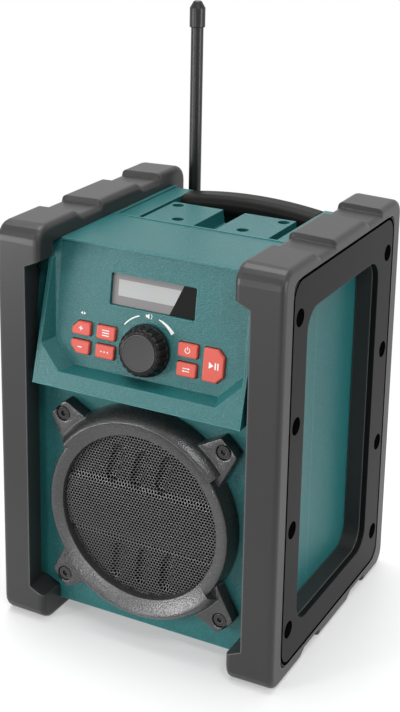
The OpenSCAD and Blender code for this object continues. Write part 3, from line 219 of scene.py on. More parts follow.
def tone_drift():
    """A colour that drifts slowly and follows the grain, with a painted highlight on outer edges.
    """
    tree, inp, out = make_group(
        "tone_drift",
        [
            ("Color", "NodeSocketColor", (0.5, 0.5, 0.5, 1)),
            ("Edge Color", "NodeSocketColor", (0.8, 0.8, 0.8, 1)),
            ("Drift", "NodeSocketFloat", 0.1),
            ("Grain", "NodeSocketFloat", 0.5),
            ("Grain Share", "NodeSocketFloat", 0.1),
            ("Edge Width", "NodeSocketFloat", 0.0006),
            ("Edge Share", "NodeSocketFloat", 0.3),
        ],
        [("Color", "NodeSocketColor")],
    )
    link = tree.links.new
    coords = add(tree, "ShaderNodeTexCoord", -900, -400)
    cloud = add(tree, "ShaderNodeTexNoise", -700, -400)
    put(cloud, Scale=22.0, Detail=3.0, Roughness=0.55)
    link(coords.outputs["Object"], cloud.inputs["Vector"])

    def centred(source, share, y):
        off = maths(tree, "SUBTRACT", -500, y, source, 0.5)
        return maths(tree, "MULTIPLY", -350, y, off, share)

    drift = centred(cloud.outputs["Fac"], inp.outputs["Drift"], -400)
    grain = centred(inp.outputs["Grain"], inp.outputs["Grain Share"], -200)
    total = maths(tree, "ADD", -200, -300, drift, grain)
    gain = maths(tree, "ADD", -50, -300, total, 1.0)
    grey = add(tree, "ShaderNodeCombineColor", -50, -100)
    for channel in ("Red", "Green", "Blue"):
        link(gain, grey.inputs[channel])
    shade = add(tree, "ShaderNodeMix", 100, 0, data_type="RGBA", blend_type="MULTIPLY")
    put(shade, Factor=1.0)
    link(inp.outputs["Color"], shade.inputs[COLOUR_A])
    link(grey.outputs["Color"], shade.inputs[COLOUR_B])

    # painted highlight: outer edges, found by occlusion from inside, take the paler edge colour
    inside = add(tree, "ShaderNodeAmbientOcclusion", -500, 250, samples=8, inside=True)
    link(inp.outputs["Edge Width"], inside.inputs["Distance"])
    edge = add(tree, "ShaderNodeMapRange", -250, 250)
    put(edge, From_Min=0.92, From_Max=0.45, To_Min=0.0, To_Max=1.0)
    link(inside.outputs["AO"], edge.inputs["Value"])
    share = maths(
        tree, "MULTIPLY", 100, 250, edge.outputs["Result"], inp.outputs["Edge Share"]
    )
    final = add(tree, "ShaderNodeMix", 350, 0, data_type="RGBA")
    link(share, final.inputs["Factor"])
    link(shade.outputs[COLOUR_OUT], final.inputs[COLOUR_A])
    link(inp.outputs["Edge Color"], final.inputs[COLOUR_B])
    link(final.outputs[COLOUR_OUT], out.inputs["Color"])
    return tree


def shared_group(maker):
    """The group that maker builds under its own name, built once."""
    return bpy.data.node_groups.get(maker.__name__) or maker()


def finish(
    name, base, rough, grain=0.0009, spread=0.5, bump=0.25, depth=0.00012, drift=0.12,
    grain_share=0.15, edge=0.25, edge_highlight_width=0.0007, edge_highlight_colour=None, soften=0.0005,
    metal=0.0, specular=0.5,
):
    """A moulded or coated finish: grain, colour drift, a painted highlight on outer edges, softened
    corners.

    grain, depth, the edge highlight's width and soften are in metres. grain is the size of a
    pebble, spread the share of noise in it, and the painted edge highlight's colour is a paler base
    where none is given.
    """
    label = name + "_finish"
    made = bpy.data.materials.get(label)
    if made:
        return made
    material = bpy.data.materials.new(label)
    material.use_nodes = True
    tree = material.node_tree
    link = tree.links.new
    shader = tree.nodes["Principled BSDF"]
    shader.location = (300, 0)
    tree.nodes["Material Output"].location = (600, 0)
    put(shader, Roughness=rough, Metallic=metal, Specular_IOR_Level=specular)
    texture = add(tree, "ShaderNodeGroup", -700, -200)
    texture.node_tree = shared_group(moulded_grain)
    put(texture, Size=grain, Spread=spread)
    paint = add(tree, "ShaderNodeGroup", -350, 150)
    paint.node_tree = shared_group(tone_drift)
    # colour of the painted highlight on outer edges
    pale = edge_highlight_colour or [min(1.0, c * 2.2 + 0.05) for c in base]
    put(paint, Drift=drift, Grain_Share=grain_share, Edge_Width=edge_highlight_width, Edge_Share=edge)
    put(paint, Color=(*base, 1), Edge_Color=(*pale, 1))
    link(texture.outputs["Tone"], paint.inputs["Grain"])
    link(paint.outputs["Color"], shader.inputs["Base Color"])
    corners = add(tree, "ShaderNodeBevel", -350, -450, samples=6)
    put(corners, Radius=soften)
    relief = add(tree, "ShaderNodeBump", 0, -250)
    put(relief, Strength=bump, Distance=depth)
    link(texture.outputs["Height"], relief.inputs["Height"])
    link(corners.outputs["Normal"], relief.inputs["Normal"])
    link(relief.outputs["Normal"], shader.inputs["Normal"])
    return material


def darker(base, share=0.4):
    return [share * c for c in base]


def dress(material, *names):
    """Gives CAD nodes a finish."""
    for name in names:
        for slot in NODES[name].material_slots:
            slot.material = material


# ---- Mesh helpers ----


def piece(name, verts, faces, material, body, smooth=True):
    """A mesh object that rides on a body, with the given finish."""
    mesh = bpy.data.meshes.new(name)
    mesh.from_pydata([tuple(v) for v in verts], [], faces)
    mesh.validate()
    obj = bpy.data.objects.new(name, mesh)
    bpy.context.scene.collection.objects.link(obj)
    bm = bmesh.new()
    bm.from_mesh(mesh)
    bmesh.ops.recalc_face_normals(bm, faces=bm.faces)
    bm.to_mesh(mesh)
    bm.free()
    mesh.materials.append(material)
    if smooth:
        mesh.shade_smooth()
        mesh.set_sharp_from_angle(angle=SHARP_ANGLE)
    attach(obj, body)
    return obj


def columns_to_faces(columns, count, closed):
    """Quads between columns of count points around a full turn.

    A closed column joins its last point to its first.
    """
    faces = []
    for t in range(columns):
        a, b = t * count, (t + 1) % columns * count
        for k in range(count if closed else count - 1):
            n = (k + 1) % count
            faces.append((a + k, a + n, b + n, b + k))
    return faces


def joint_frame(name):
    """Matrix at a joint: x to the right, z along its axis."""
    joint = next(j for j in frame["joints"] if j["name"] == name)
    z = Vector(joint["axis"]).normalized()
    x = Vector((1, 0, 0))
    y = z.cross(x)
    return Matrix.Translation(Vector(joint["pos_m"])) @ Matrix((x, y, z)).transposed().to_4x4()


# the console's face: origin on the knob's axis, x across, y up the slope, z out of it
PANEL = joint_frame("volume_turn")


def on_panel(x, y, height):
    """Point in millimetres on the console's face."""
    return PANEL @ Vector((x * MM, y * MM, height * MM))


def settings():
    """The radio's colours, its sizes and the studio's settings."""
    scene = bpy.context.scene
    return scene.radio_finishes, scene.radio_sizes, scene.radio_studio


# ---- Pieces ----


class RADIO_OT_housing(bpy.types.Operator):
    """Green moulded shells, console, deck and battery door"""

    bl_idname = "radio.housing"
    bl_label = "Dress the housing"

    def execute(self, context):
        look = settings()[0]
        green = finish(
            "housing_plastic", look.housing, 0.34, grain=0.0009, spread=0.35, bump=1.0,
            depth=0.0003, drift=0.10, grain_share=0.5, edge=0.55, edge_highlight_width=0.0008,
            edge_highlight_colour=(0.10, 0.36, 0.36), soften=0.0008, specular=0.32,
        )
        dress(green, "front_housing", "rear_housing", "console", "top_deck", "battery_door")
        return {"FINISHED"}


class RADIO_OT_cages(bpy.types.Operator):
    """Charcoal side cages with their plates and screws"""

    bl_idname = "radio.cages"
    bl_label = "Dress the cages"

    def execute(self, context):
        look = settings()[0]
        cage = finish(
            "cage_plastic", look.cage, 0.36, grain=0.0008, bump=0.25, depth=0.0001,
            drift=0.18, grain_share=0.12, edge=0.7, edge_highlight_width=0.0012, soften=0.0012,
            edge_highlight_colour=(0.15, 0.15, 0.15), specular=0.32,
        )
        plate = finish(
            "plate_plastic", darker(look.cage), 0.38, grain=0.0005, bump=0.12, depth=0.0001,
            drift=0.15, grain_share=0.10, edge=0.35, edge_highlight_width=0.0007, soften=0.0009,
            edge_highlight_colour=(0.07, 0.07, 0.07), specular=0.05,
        )
        # a darker copy of the screw colour without reflection: blackened screws with the painted
        # shade of their deep recesses, also given to the deck and housing screws
        screw = finish(
            "screw_black", darker(look.screw), 0.30, grain=0.0004, bump=0.1, edge=0.1,
            soften=0.0002, edge_highlight_width=0.0003, specular=0.0,
        )
        # the light rings round each head are a painted highlight on its edges
        glossy = finish(
            "screw_gloss", look.screw, 0.16, grain=0.0004, bump=0.1, edge=0.6, soften=0.0002,
            edge_highlight_width=0.0003, edge_highlight_colour=(0.25, 0.25, 0.25),
        )
        dress(cage, "left_cage", "right_cage")
        dress(plate, "left_side_plate", "right_side_plate")
        dress(screw, "left_plate_screws", "right_plate_screws", "deck_screws", "housing_screws")
        dress(glossy, "ring_screws")
        return {"FINISHED"}


# side plates: radius of their outer corners
PLATE_CORNER = 12 * MM
# inner and outer edge of the painted shade that stands for the gap round a plate, from the plate's
# outline
GAP_SHADE = (-0.8 * MM, 1.2 * MM)
# inner and outer radius of the painted shade that stands for the recess round a screw
RECESS_SHADE = (3.7 * MM, 5.8 * MM)
# how far these bands stand out of the plate's face, and reach into it
BAND_TOP, BAND_FOOT = 0.06 * MM, -0.3 * MM
# two points of a plate's screws that lie closer than this are on the same head
HEAD_REACH = 9 * MM


def flat_bands(name, x, side, loops, material):
    """Flat closed bands on a side, each from an inner to an outer loop of (y, z) points."""
    verts, faces = [], []
    for inner, outer in loops:
        count = len(inner)
        start = len(verts)
        rims = (inner, BAND_FOOT), (inner, BAND_TOP), (outer, BAND_TOP), (outer, BAND_FOOT)
        for loop, h in rims:
            verts += [Vector((x + side * h, y, z)) for y, z in loop]
        for level in range(4):
            a, b = start + level * count, start + (level + 1) % 4 * count
            for k in range(count):
                n = (k + 1) % count
                faces.append((a + k, a + n, b + n, b + k))
    piece(name, verts, faces, material, "radio")


def rounded_outline(low, high, radius, grow):
    """Rounded rectangle in y and z, moved outwards by grow."""
    r = radius + grow
    centres = (
        (high.y - radius, high.z - radius), (low.y + radius, high.z - radius),
        (low.y + radius, low.z + radius), (high.y - radius, low.z + radius),
    )
    loop = []
    for quarter, (y, z) in enumerate(centres):
        for k in range(13):
            a = math.radians(90 * quarter + 7.5 * k)
            loop.append((y + r * math.cos(a), z + r * math.sin(a)))
    return loop


def screw_centres(node, side):
    """The (y, z) middle of each screw head that shows on a side of the node."""
    points = [node.matrix_world @ v.co for v in node.data.vertices]
    face = max(side * p.x for p in points)
    heads = []
    for p in points:
        if side * p.x > face - 0.1 * MM:
            for head in heads:
                if math.hypot(head[0].y - p.y, head[0].z - p.z) < HEAD_REACH:
                    head.append(p)
                    break
            else:
                heads.append([p])
    return [
        ((min(p.y for p in head) + max(p.y for p in head)) / 2,
         (min(p.z for p in head) + max(p.z for p in head)) / 2)
        for head in heads
    ]


class RADIO_OT_plates(bpy.types.Operator):
    """Painted shade: near-black bands for the gaps around the side plates and the recesses round
    their screws
    """

    bl_idname = "radio.plates"
    bl_label = "Edge the side plates"

    def execute(self, context):
        # near-black and without reflection: a painted shade for the gaps and recesses
        dark = finish(
            "groove_dark", (0.002, 0.002, 0.002), 0.6, bump=0.1, edge=0.0, specular=0.0
        )
        turns = [math.radians(9 * k) for k in range(40)]
        for label, side in (("left", -1), ("right", 1)):
            low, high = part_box(label + "_side_plate")
            x = high.x if side > 0 else low.x
            groove = [rounded_outline(low, high, PLATE_CORNER, grow) for grow in GAP_SHADE]
            flat_bands(label + "_plate_groove", x, side, [groove], dark)
            recess_shades = [
                [[(y + r * math.cos(a), z + r * math.sin(a)) for a in turns] for r in RECESS_SHADE]
                for y, z in screw_centres(NODES[label + "_plate_screws"], side)
            ]
            flat_bands(label + "_screw_seats", x, side, recess_shades, dark)
        return {"FINISHED"}


# speaker ring, in millimetres and degrees: the radius of its opening, and its lower sides,
# which reach SIDE_ANGLE up and down from the middle
OPENING = 57.0
SIDE_DROP = 2.2
SIDE_ANGLE = 37
# its lugs: height, radius at which the screw holes lie, length of an outline's pieces, and
# the corners of a lug that points to the right
LUG_RISE = 9.3
LUG_HOLE_AT = 83.6
LUG_STEP = 1.5
LUG_CORNERS = (
    (59.5, -15), (66.0, -15), (86.6, -8.9), (89.0, -8.0), (89.5, -6.6),
    (89.5, 6.6), (89.0, 8.0), (86.6, 8.9), (66.0, 15), (59.5, 15),
)
# rings of a lug's points, from the bottom of its hole over the top to its foot: the
# value is a radius round the hole, or else how far inside the outline the points lie
LUG_LEVELS = (
    (5.2, LUG_RISE - 3.0, True), (5.2, LUG_RISE - 0.35, True), (5.6, LUG_RISE - 0.1, True),
    (6.0, LUG_RISE, True), (1.0, LUG_RISE, False), (0.4, LUG_RISE - 0.25, False),
    (0.0, LUG_RISE - 0.9, False), (0.0, 0.0, False),
)


def ring_outlines(rise):
    """(radius, height) outlines of the ring above and below, and of its lower sides."""
    ends = [
        (OPENING, 0), (OPENING, 12.6), (57.4, 13.4), (66.2, rise - 0.75), (66.7, rise - 0.35),
        (67.1, rise),
    ]
    for angle in range(35, 91, 5):
        a = math.radians(angle)
        ends.append((59.0 + 15.5 * math.sin(a), 1.0 + 19.4 * math.cos(a)))
    ends.append((74.5, 0))
    low = rise - SIDE_DROP
    sides = [
        (57.02, 0), (57.02, 12.5), (57.42, 13.3), (61.2, low - 0.5), (63.2, low - 0.1),
        (64.9, low), (65.7, low - 0.4),
    ]
    wall = len(ends) - len(sides)
    for k in range(wall):
        down = k / (wall - 1)
        sides.append((66.0 + 1.5 * down, (low - 0.8) * (1 - down)))
    return ends, sides


def ring_mesh(rise, place):
    """The ring's points and faces, with a step where its outline changes."""
    ends, sides = ring_outlines(rise)
    columns = []
    for turn in range(360):
        off = min(abs(turn - c) for c in (0, 180, 360))
        if off == SIDE_ANGLE:
            both = [(turn, sides), (turn, ends)]
            enters_sides = turn in (180 - SIDE_ANGLE, 360 - SIDE_ANGLE)
            columns += both[::-1] if enters_sides else both
        else:
            columns.append((turn, sides if off < SIDE_ANGLE else ends))
    verts = [
        place(r * math.cos(math.radians(a)), r * math.sin(math.radians(a)), h)
        for a, outline in columns for r, h in outline
    ]
    return verts, columns_to_faces(len(columns), len(ends), closed=True)


def lug_mesh(place):
    """Four lugs, each with a counterbored hole."""
    outline = []
    for k, (x, y) in enumerate(LUG_CORNERS):
        nx, ny = LUG_CORNERS[(k + 1) % len(LUG_CORNERS)]
        count = max(1, round(math.hypot(nx - x, ny - y) / LUG_STEP))
        outline += [
            (x + (nx - x) * i / count - LUG_HOLE_AT, y + (ny - y) * i / count)
            for i in range(count)
        ]
    count = len(outline)
    verts, faces = [], []
    for quarter in (45, 135, 225, 315):
        start = len(verts)
        c, d = math.cos(math.radians(quarter)), math.sin(math.radians(quarter))
        for value, h, round_hole in LUG_LEVELS:
            for x, y in outline:
                reach = math.hypot(x, y)
                scale = value / reach if round_hole else 1 - value / reach
                px, py = LUG_HOLE_AT + x * scale, y * scale
                verts.append(place(px * c - py * d, px * d + py * c, h))
        for level in range(len(LUG_LEVELS) - 1):
            for k in range(count):
                a, b = start + level * count + k, start + level * count + (k + 1) % count
                faces.append((a, b, b + count, a + count))
        for h in (LUG_LEVELS[0][1], 0):
            verts.append(place(LUG_HOLE_AT * c, LUG_HOLE_AT * d, h))
        last = start + (len(LUG_LEVELS) - 1) * count
        for k in range(count):
            n = (k + 1) % count
            faces.append((start + n, start + k, len(verts) - 2))
            faces.append((last + k, last + n, len(verts) - 1))
    return verts, faces


class RADIO_OT_ring(bpy.types.Operator):
    """Speaker ring and its four lugs in coarse grained plastic"""

    bl_idname = "radio.ring"
    bl_label = "Build the speaker ring"

    def execute(self, context):
        look = settings()[0]
        ring = finish(
            "ring_plastic", look.ring, 0.24, grain=0.0009, spread=0.5, bump=1.0, depth=0.00024,
            drift=0.2, grain_share=0.9, edge=0.5, edge_highlight_width=0.0007, soften=0.0009, specular=0.6,
            edge_highlight_colour=(0.20, 0.20, 0.20),
        )
        low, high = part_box("speaker_ring")
        centre = Vector(((low.x + high.x) / 2, high.y, (low.z + high.z) / 2))

        def place(x, z, h):
            return Vector((centre.x + x * MM, centre.y - h * MM, centre.z + z * MM))

        verts, faces = ring_mesh((high.y - low.y) / MM, place)
        body = piece("ring_body", verts, faces, ring, "radio")
        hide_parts("speaker_ring")
        verts, faces = lug_mesh(place)
        lugs = piece("ring_lugs", verts, faces, ring, "radio")
        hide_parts("speaker_ring")
        return {"FINISHED"}


# grille: the sheet's radius, and where its pressed forms end, over which width
SHEET_REACH = 57.5 * MM
FADE_START, FADE_WIDTH = 57.4 * MM, 0.8 * MM
# heights of the folds at the raised band's upper and lower edge, and the crease below it
UPPER_FOLD, LOWER_FOLD = 4.4 * MM, 1.2 * MM
CREASE_DEPTH, CREASE_WIDTH = 1.4 * MM, 1.2 * MM
CAPSULE_DEPTH, CAPSULE_RADIUS = 2.4 * MM, 4.2 * MM
# (x, z, half length, lean in degrees) of each pressed capsule
CAPSULES = tuple(
    (x * MM, z * MM, half * MM, math.radians(lean)) for x, z, half, lean in (
        (-19.8, 32.5, 9, 16), (-1.6, 32.5, 9, 16), (16.6, 32.5, 9, 16),
        (-17.0, -37, 9, 9), (1.2, -37, 9, 9), (19.4, -37, 9, 9),
    )
)
# a six-sided hole is this much wider over its corners than the round one
HEX_GAIN = 1.08
# (radius, height) of the rim that holds the sheet behind the ring's lip; its near-black colour
# without reflection is painted shade for the gap at the lip and for what shows through the holes
RIM = ((44.0, 3.8), (57.7, 3.8), (57.7, 0.2), (56.9, 0.2), (56.9, 3.2), (44.0, 3.2))


def smooth(t):
    """Goes from 0 to 1 with level ends."""
    t = np.clip(t, 0, 1)
    return t * t * (3 - 2 * t)


def sheet_height(x, z, size, field):
    """Height of the grille's sheet over its back, from its flat field's height."""
    ramp = np.clip((size.band_half + UPPER_FOLD / 2 - z) / UPPER_FOLD, 0, 1)
    band = np.where(z > 0, ramp, smooth((size.band_half + z) / LOWER_FOLD + 0.5))
    rise = size.band_rise * band
    for cx, cz, half, lean in CAPSULES:
        dx, dz = x - cx, z - cz
        along = np.clip(dx * math.sin(lean) + dz * math.cos(lean), -half, half)
        gap = np.hypot(dx - along * math.sin(lean), dz - along * math.cos(lean))
        rise = rise - CAPSULE_DEPTH * np.sqrt(np.clip(1 - (gap / CAPSULE_RADIUS) ** 2, 0, 1))
    crease = CREASE_DEPTH * np.exp(-((z + size.band_half + LOWER_FOLD) / CREASE_WIDTH) ** 2)
    return field + (rise - crease) * smooth((FADE_START - np.hypot(x, z)) / FADE_WIDTH)


def perforated_disc(pitch, hole, rows):
    """Flat honeycomb of cells with a six-sided hole each: points and faces."""
    corner = pitch / math.sqrt(3)
    angles = [math.radians(30 + 60 * k) for k in range(6)]
    points, shared, faces = [], {}, []

    def add_point(x, z):
        points.append((x, z))
        return len(points) - 1

    def shared_point(x, z):
        key = (round(x * 2e6), round(z * 2e6))
        if key not in shared:
            shared[key] = add_point(x, z)
        return shared[key]

    for j in range(-rows, rows + 1):
        for i in range(-rows, rows + 1):
            cx = (i + 0.5 * (j % 2)) * pitch
            cz = j * pitch * math.sqrt(3) / 2
            if math.hypot(cx, cz) > SHEET_REACH:
                continue
            outer = [shared_point(cx + corner * math.cos(a), cz + corner * math.sin(a))
                     for a in angles]
            inner = [add_point(cx + hole * math.cos(a), cz + hole * math.sin(a)) for a in angles]
            for k in range(6):
                n = (k + 1) % 6
                faces.append((outer[k], outer[n], inner[n], inner[k]))
    flat = np.array(points)
    reach = np.maximum(np.hypot(flat[:, 0], flat[:, 1]), 1e-9)
    return flat * np.minimum(1, SHEET_REACH / reach)[:, None], faces


class RADIO_OT_grille(bpy.types.Operator):
    """Perforated sheet with its raised band and pressed capsules, and its rim"""

    bl_idname = "radio.grille"
    bl_label = "Build the grille"

    def execute(self, context):
        look, size, _ = settings()
        low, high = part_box("speaker_grille")
        ring_low, ring_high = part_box("speaker_ring")
        centre = Vector(
            ((ring_low.x + ring_high.x) / 2, high.y, (ring_low.z + ring_high.z) / 2)
        )
        pitch = size.hole_pitch
        row_height = pitch * 0.866
        rows = int((high.x - low.x) / 2 / row_height) + 2
        hole = size.hole_share * pitch / 2 * HEX_GAIN
        flat, faces = perforated_disc(pitch, hole, rows)
        field = high.y - low.y - size.band_rise
        rise = sheet_height(flat[:, 0], flat[:, 1], size, field)
        verts = np.column_stack([centre.x + flat[:, 0], centre.y - rise, centre.z + flat[:, 1]])
        metal = finish(
            "grille_metal", look.grille, 0.27, grain=0.0005, bump=0.1, drift=0.2, edge=0.0,
            soften=0.0001, metal=0.6, specular=0.3,
        )
        sheet = piece("grille_sheet", verts, faces, metal, "radio")
        thick = sheet.modifiers.new("thickness", "SOLIDIFY")
        thick.thickness = size.sheet
        thick.offset = -1
        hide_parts("speaker_grille")

        steps = 96
        points = []
        for t in range(steps):
            a = math.tau * t / steps
            for r, h in RIM:
                points.append((centre.x + r * MM * math.cos(a), centre.y - h * MM,
                               centre.z + r * MM * math.sin(a)))
        faces = columns_to_faces(steps, len(RIM), closed=True)
        # near-black without reflection: painted shade behind the grille and at the ring's lip
        dark = finish("rim_dark", (0.004, 0.004, 0.004), 0.7, bump=0.1, edge=0.0, specular=0.0)
        rim = piece("grille_rim", points, faces, dark, "radio")
        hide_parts("speaker_grille")
        return {"FINISHED"}


# knob, in millimetres: (radius, height, share of the flute's depth) from its hidden bore
# up to the face
KNOB_SKIRT = (
    (4.9, 0.8, 0), (16.4, 0.6, 0), (17.0, 1.1, 0), (17.0, 2.4, 0), (16.7, 2.9, 0),
    (16.45, 3.2, 1), (16.1, 5.6, 1), (15.7, 8.2, 1), (15.4, 9.4, 1), (14.7, 10.3, 0.8),
    (13.4, 10.9, 0.3), (12.4, 11.1, 0), (12.2, 10.4, 0), (11.6, 10.3, 0),
)
FLUTE_DEPTH = 0.75
POINTS_PER_FLUTE = 12
# (radius, height) of the disc in the face, from its edge inwards, and its middle
KNOB_DISC = ((12.0, 10.2), (12.0, 11.2), (11.8, 11.5), (11.3, 11.55), (10.9, 11.2), (6.0, 11.02))
DISC_MIDDLE = 11.0


class RADIO_OT_knob(bpy.types.Operator):
    """Fluted volume knob with a grey disc in its face"""

    bl_idname = "radio.knob"
    bl_label = "Build the knob"

    def execute(self, context):
        look, size, _ = settings()
        black = finish(
            "knob_plastic", look.knob, 0.30, grain=0.0005, bump=0.15, edge=0.3,
            edge_highlight_colour=(0.09, 0.09, 0.09), edge_highlight_width=0.0005, soften=0.0003, specular=0.15,
        )
        grey = finish(
            "knob_disc", look.knob_face, 0.42, grain=0.0005, bump=0.15, edge=0.5,
            soften=0.0003, edge_highlight_colour=(0.30, 0.30, 0.30), specular=0.3,
        )
        steps = size.flutes * POINTS_PER_FLUTE
        verts = []
        for t in range(steps):
            a = math.tau * t / steps
            wave = (t % POINTS_PER_FLUTE) / POINTS_PER_FLUTE
            groove = max(0.0, math.cos(math.tau * wave)) ** 0.7
            for r, h, flute in KNOB_SKIRT:
                rr = r - FLUTE_DEPTH * flute * groove
                verts.append(on_panel(rr * math.cos(a), rr * math.sin(a), h))
        faces = columns_to_faces(steps, len(KNOB_SKIRT), closed=False)
        grip = piece("knob_grip", verts, faces, black, "volume")
        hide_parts("volume_knob")

        steps = 96
        turns = [math.tau * t / steps for t in range(steps)]
        verts = [on_panel(r * math.cos(a), r * math.sin(a), h) for a in turns for r, h in KNOB_DISC]
        n = len(KNOB_DISC)
        faces = columns_to_faces(steps, n, closed=False)
        verts.append(on_panel(0, 0, DISC_MIDDLE))
        for t in range(steps):
            faces.append((t * n + n - 1, len(verts) - 1, ((t + 1) % steps) * n + n - 1))
        face = piece("knob_face", verts, faces, grey, "volume")
        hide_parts("volume_knob")
        return {"FINISHED"}


class RADIO_OT_keys(bpy.types.Operator):
    """Seven soft keys"""

    bl_idname = "radio.keys"
    bl_label = "Dress the keys"

    def execute(self, context):
        look = settings()[0]
        soft = finish(
            "key_rubber", look.key, 0.48, grain=0.0004, bump=0.08, drift=0.06,
            grain_share=0.05, edge=0.25, edge_highlight_colour=(0.95, 0.30, 0.22), edge_highlight_width=0.0007,
            soften=0.0008,
        )
        dress(soft, *[name for name in NODES if name.endswith("_key")])
        return {"FINISHED"}


def ribbon(points, width):
    """Closed outline of a stroke of even width along 2D points."""
    pts = [Vector(p) for p in points]
    left, right = [], []
    for i, p in enumerate(pts):
        a = pts[max(i - 1, 0)]
        b = pts[min(i + 1, len(pts) - 1)]
        d = (b - a).normalized()
        side = Vector((-d.y, d.x)) * width / 2
        left.append(p + side)
        right.append(p - side)
    return left + right[::-1]


def arc_points(x, y, r, start, end, count=14):
    """Points along an arc, with its angles in degrees."""
    angles = [math.radians(start + (end - start) * k / count) for k in range(count + 1)]
    return [(x + r * math.cos(a), y + r * math.sin(a)) for a in angles]


# signs, in millimetres: the heights over the console's face at which they are printed
PANEL_TOP, KEY_TOP = 0.02, 2.2
# middle of the upper and the lower row of small keys, and of the large key
UPPER, LOWER, LARGE = 5.95, -6.55, -0.3
ARC_RADIUS = 22.3
# half width of the growing arc at its start, and by how much that grows
WEDGE_START, WEDGE_GROWTH = 0.35, 1.0
WEDGE_STEPS = 14


def arrowhead(tip, back, half):
    """Triangle that points left or right; back is how far along x its base lies."""
    x, y = tip
    low, high = (x + back, y - half), (x + back, y + half)
    return [tip, low, low, high] if back > 0 else [tip, high, high, low]


def growing_arc():
    """Closed outline of the arc at the right of the knob."""
    middle = arc_points(0, 0, ARC_RADIUS, 71.4, 38, WEDGE_STEPS)
    half = [(WEDGE_START + WEDGE_GROWTH * k / WEDGE_STEPS) / ARC_RADIUS
            for k in range(len(middle))]
    outer = [Vector(p) * (1 + h) for p, h in zip(middle, half)]
    inner = [Vector(p) * (1 - h) for p, h in zip(middle, half)]
    return outer + inner[::-1]


def panel_shapes():
    """Arcs and a small speaker over the knob, and two arrows over the left keys."""
    return [
        ribbon(arc_points(0, 0, ARC_RADIUS, 142, 108.6), 0.85),
        growing_arc(),
        [(-2.6, 21.2), (-1.4, 21.2), (0.0, 20.2), (0.0, 23.8), (-1.4, 22.8), (-2.6, 22.8)],
        ribbon(arc_points(-0.4, 22, 2.2, -45, 45, 6), 0.45),
        arrowhead((-50.6, 15.6), 1.6, 1.0),
        arrowhead((-46.6, 15.6), -1.6, 1.0),
    ]


def key_shapes():
    """The sign's outlines on each key, by the key's body."""

    def bar(x, y, half, width):
        return ribbon([(x - half, y), (x + half, y)], width)

    return {
        "plus": [bar(-48.4, UPPER, 1.5, 0.7),
                 ribbon([(-48.4, UPPER - 1.5), (-48.4, UPPER + 1.5)], 0.7)],
        "minus": [bar(-48.4, LOWER, 1.5, 0.7)],
        "info": [bar(-29.8, UPPER + d, 2.6, 0.6) for d in (1.7, 0, -1.7)],
        "preset": [bar(-29.8 + d, LOWER, 0.45, 0.9) for d in (-2.4, 0, 2.4)],
        "power": [ribbon(arc_points(29.8, UPPER, 1.7, 120, 420, 20), 0.5),
                  ribbon([(29.8, UPPER + 0.4), (29.8, UPPER + 2.4)], 0.5)],
        "source": [bar(29.4, LOWER + 0.9, 2.0, 0.5), bar(30.2, LOWER - 0.9, 2.0, 0.5),
                   [(31.2, LOWER + 0.1), (32.6, LOWER + 0.9), (32.6, LOWER + 0.9),
                    (31.2, LOWER + 1.7)],
                   [(28.4, LOWER - 0.1), (27.0, LOWER - 0.9), (27.0, LOWER - 0.9),
                    (28.4, LOWER - 1.7)]],
        "enter": [[(45.4, LARGE - 2.2), (45.4, LARGE + 2.2), (48.6, LARGE), (48.6, LARGE)],
                  ribbon([(49.9, LARGE - 2.2), (49.9, LARGE + 2.2)], 0.9),
                  ribbon([(51.7, LARGE - 2.2), (51.7, LARGE + 2.2)], 0.9)],
    }


class RADIO_OT_signs(bpy.types.Operator):
    """Printed arcs beside the knob and plain signs on the keys"""

    bl_idname = "radio.signs"
    bl_label = "Print the signs"

    def execute(self, context):
        look, size, _ = settings()
        ink = finish("white_ink", look.ink, 0.5, bump=0.02, drift=0.05, edge=0.0, soften=0.0001)
        lift = size.ink_height / MM

        def print_sign(name, body, top, shapes):
            """Thin plates from outlines whose second half runs back along the first."""
            verts, faces = [], []
            for outline in shapes:
                base = len(verts)
                count = len(outline)
                for h in (top, top + lift):
                    verts += [on_panel(p[0], p[1], h) for p in outline]
                for k in range(count // 2 - 1):
                    a, b, c, d = (base + i for i in (k, k + 1, count - 2 - k, count - 1 - k))
                    faces.append((count + a, count + b, count + c, count + d))
                    faces.append((d, c, b, a))
                for k in range(count):
                    a, b = base + k, base + (k + 1) % count
                    faces.append((a, b, count + b, count + a))
            piece(name, verts, faces, ink, body, smooth=False)

        print_sign("panel_marks", "radio", PANEL_TOP, panel_shapes())
        for body, shapes in key_shapes().items():
            print_sign(body + "_sign", body, KEY_TOP, shapes)
        return {"FINISHED"}


# pale field on the console's face, pale partly from the display's own tone and partly from a
# painted reflection: its left, lower and upper edges
FIELD_LEFT, FIELD_LOW, FIELD_HIGH = -25.2 * MM, 31.0 * MM, 41.7 * MM
# its right edge is the slanted edge of a painted reflection: across plus the slant times up stays
# below the limit
SLANT, REFLECTION_EDGE_AT = -0.442, 1.75 * MM


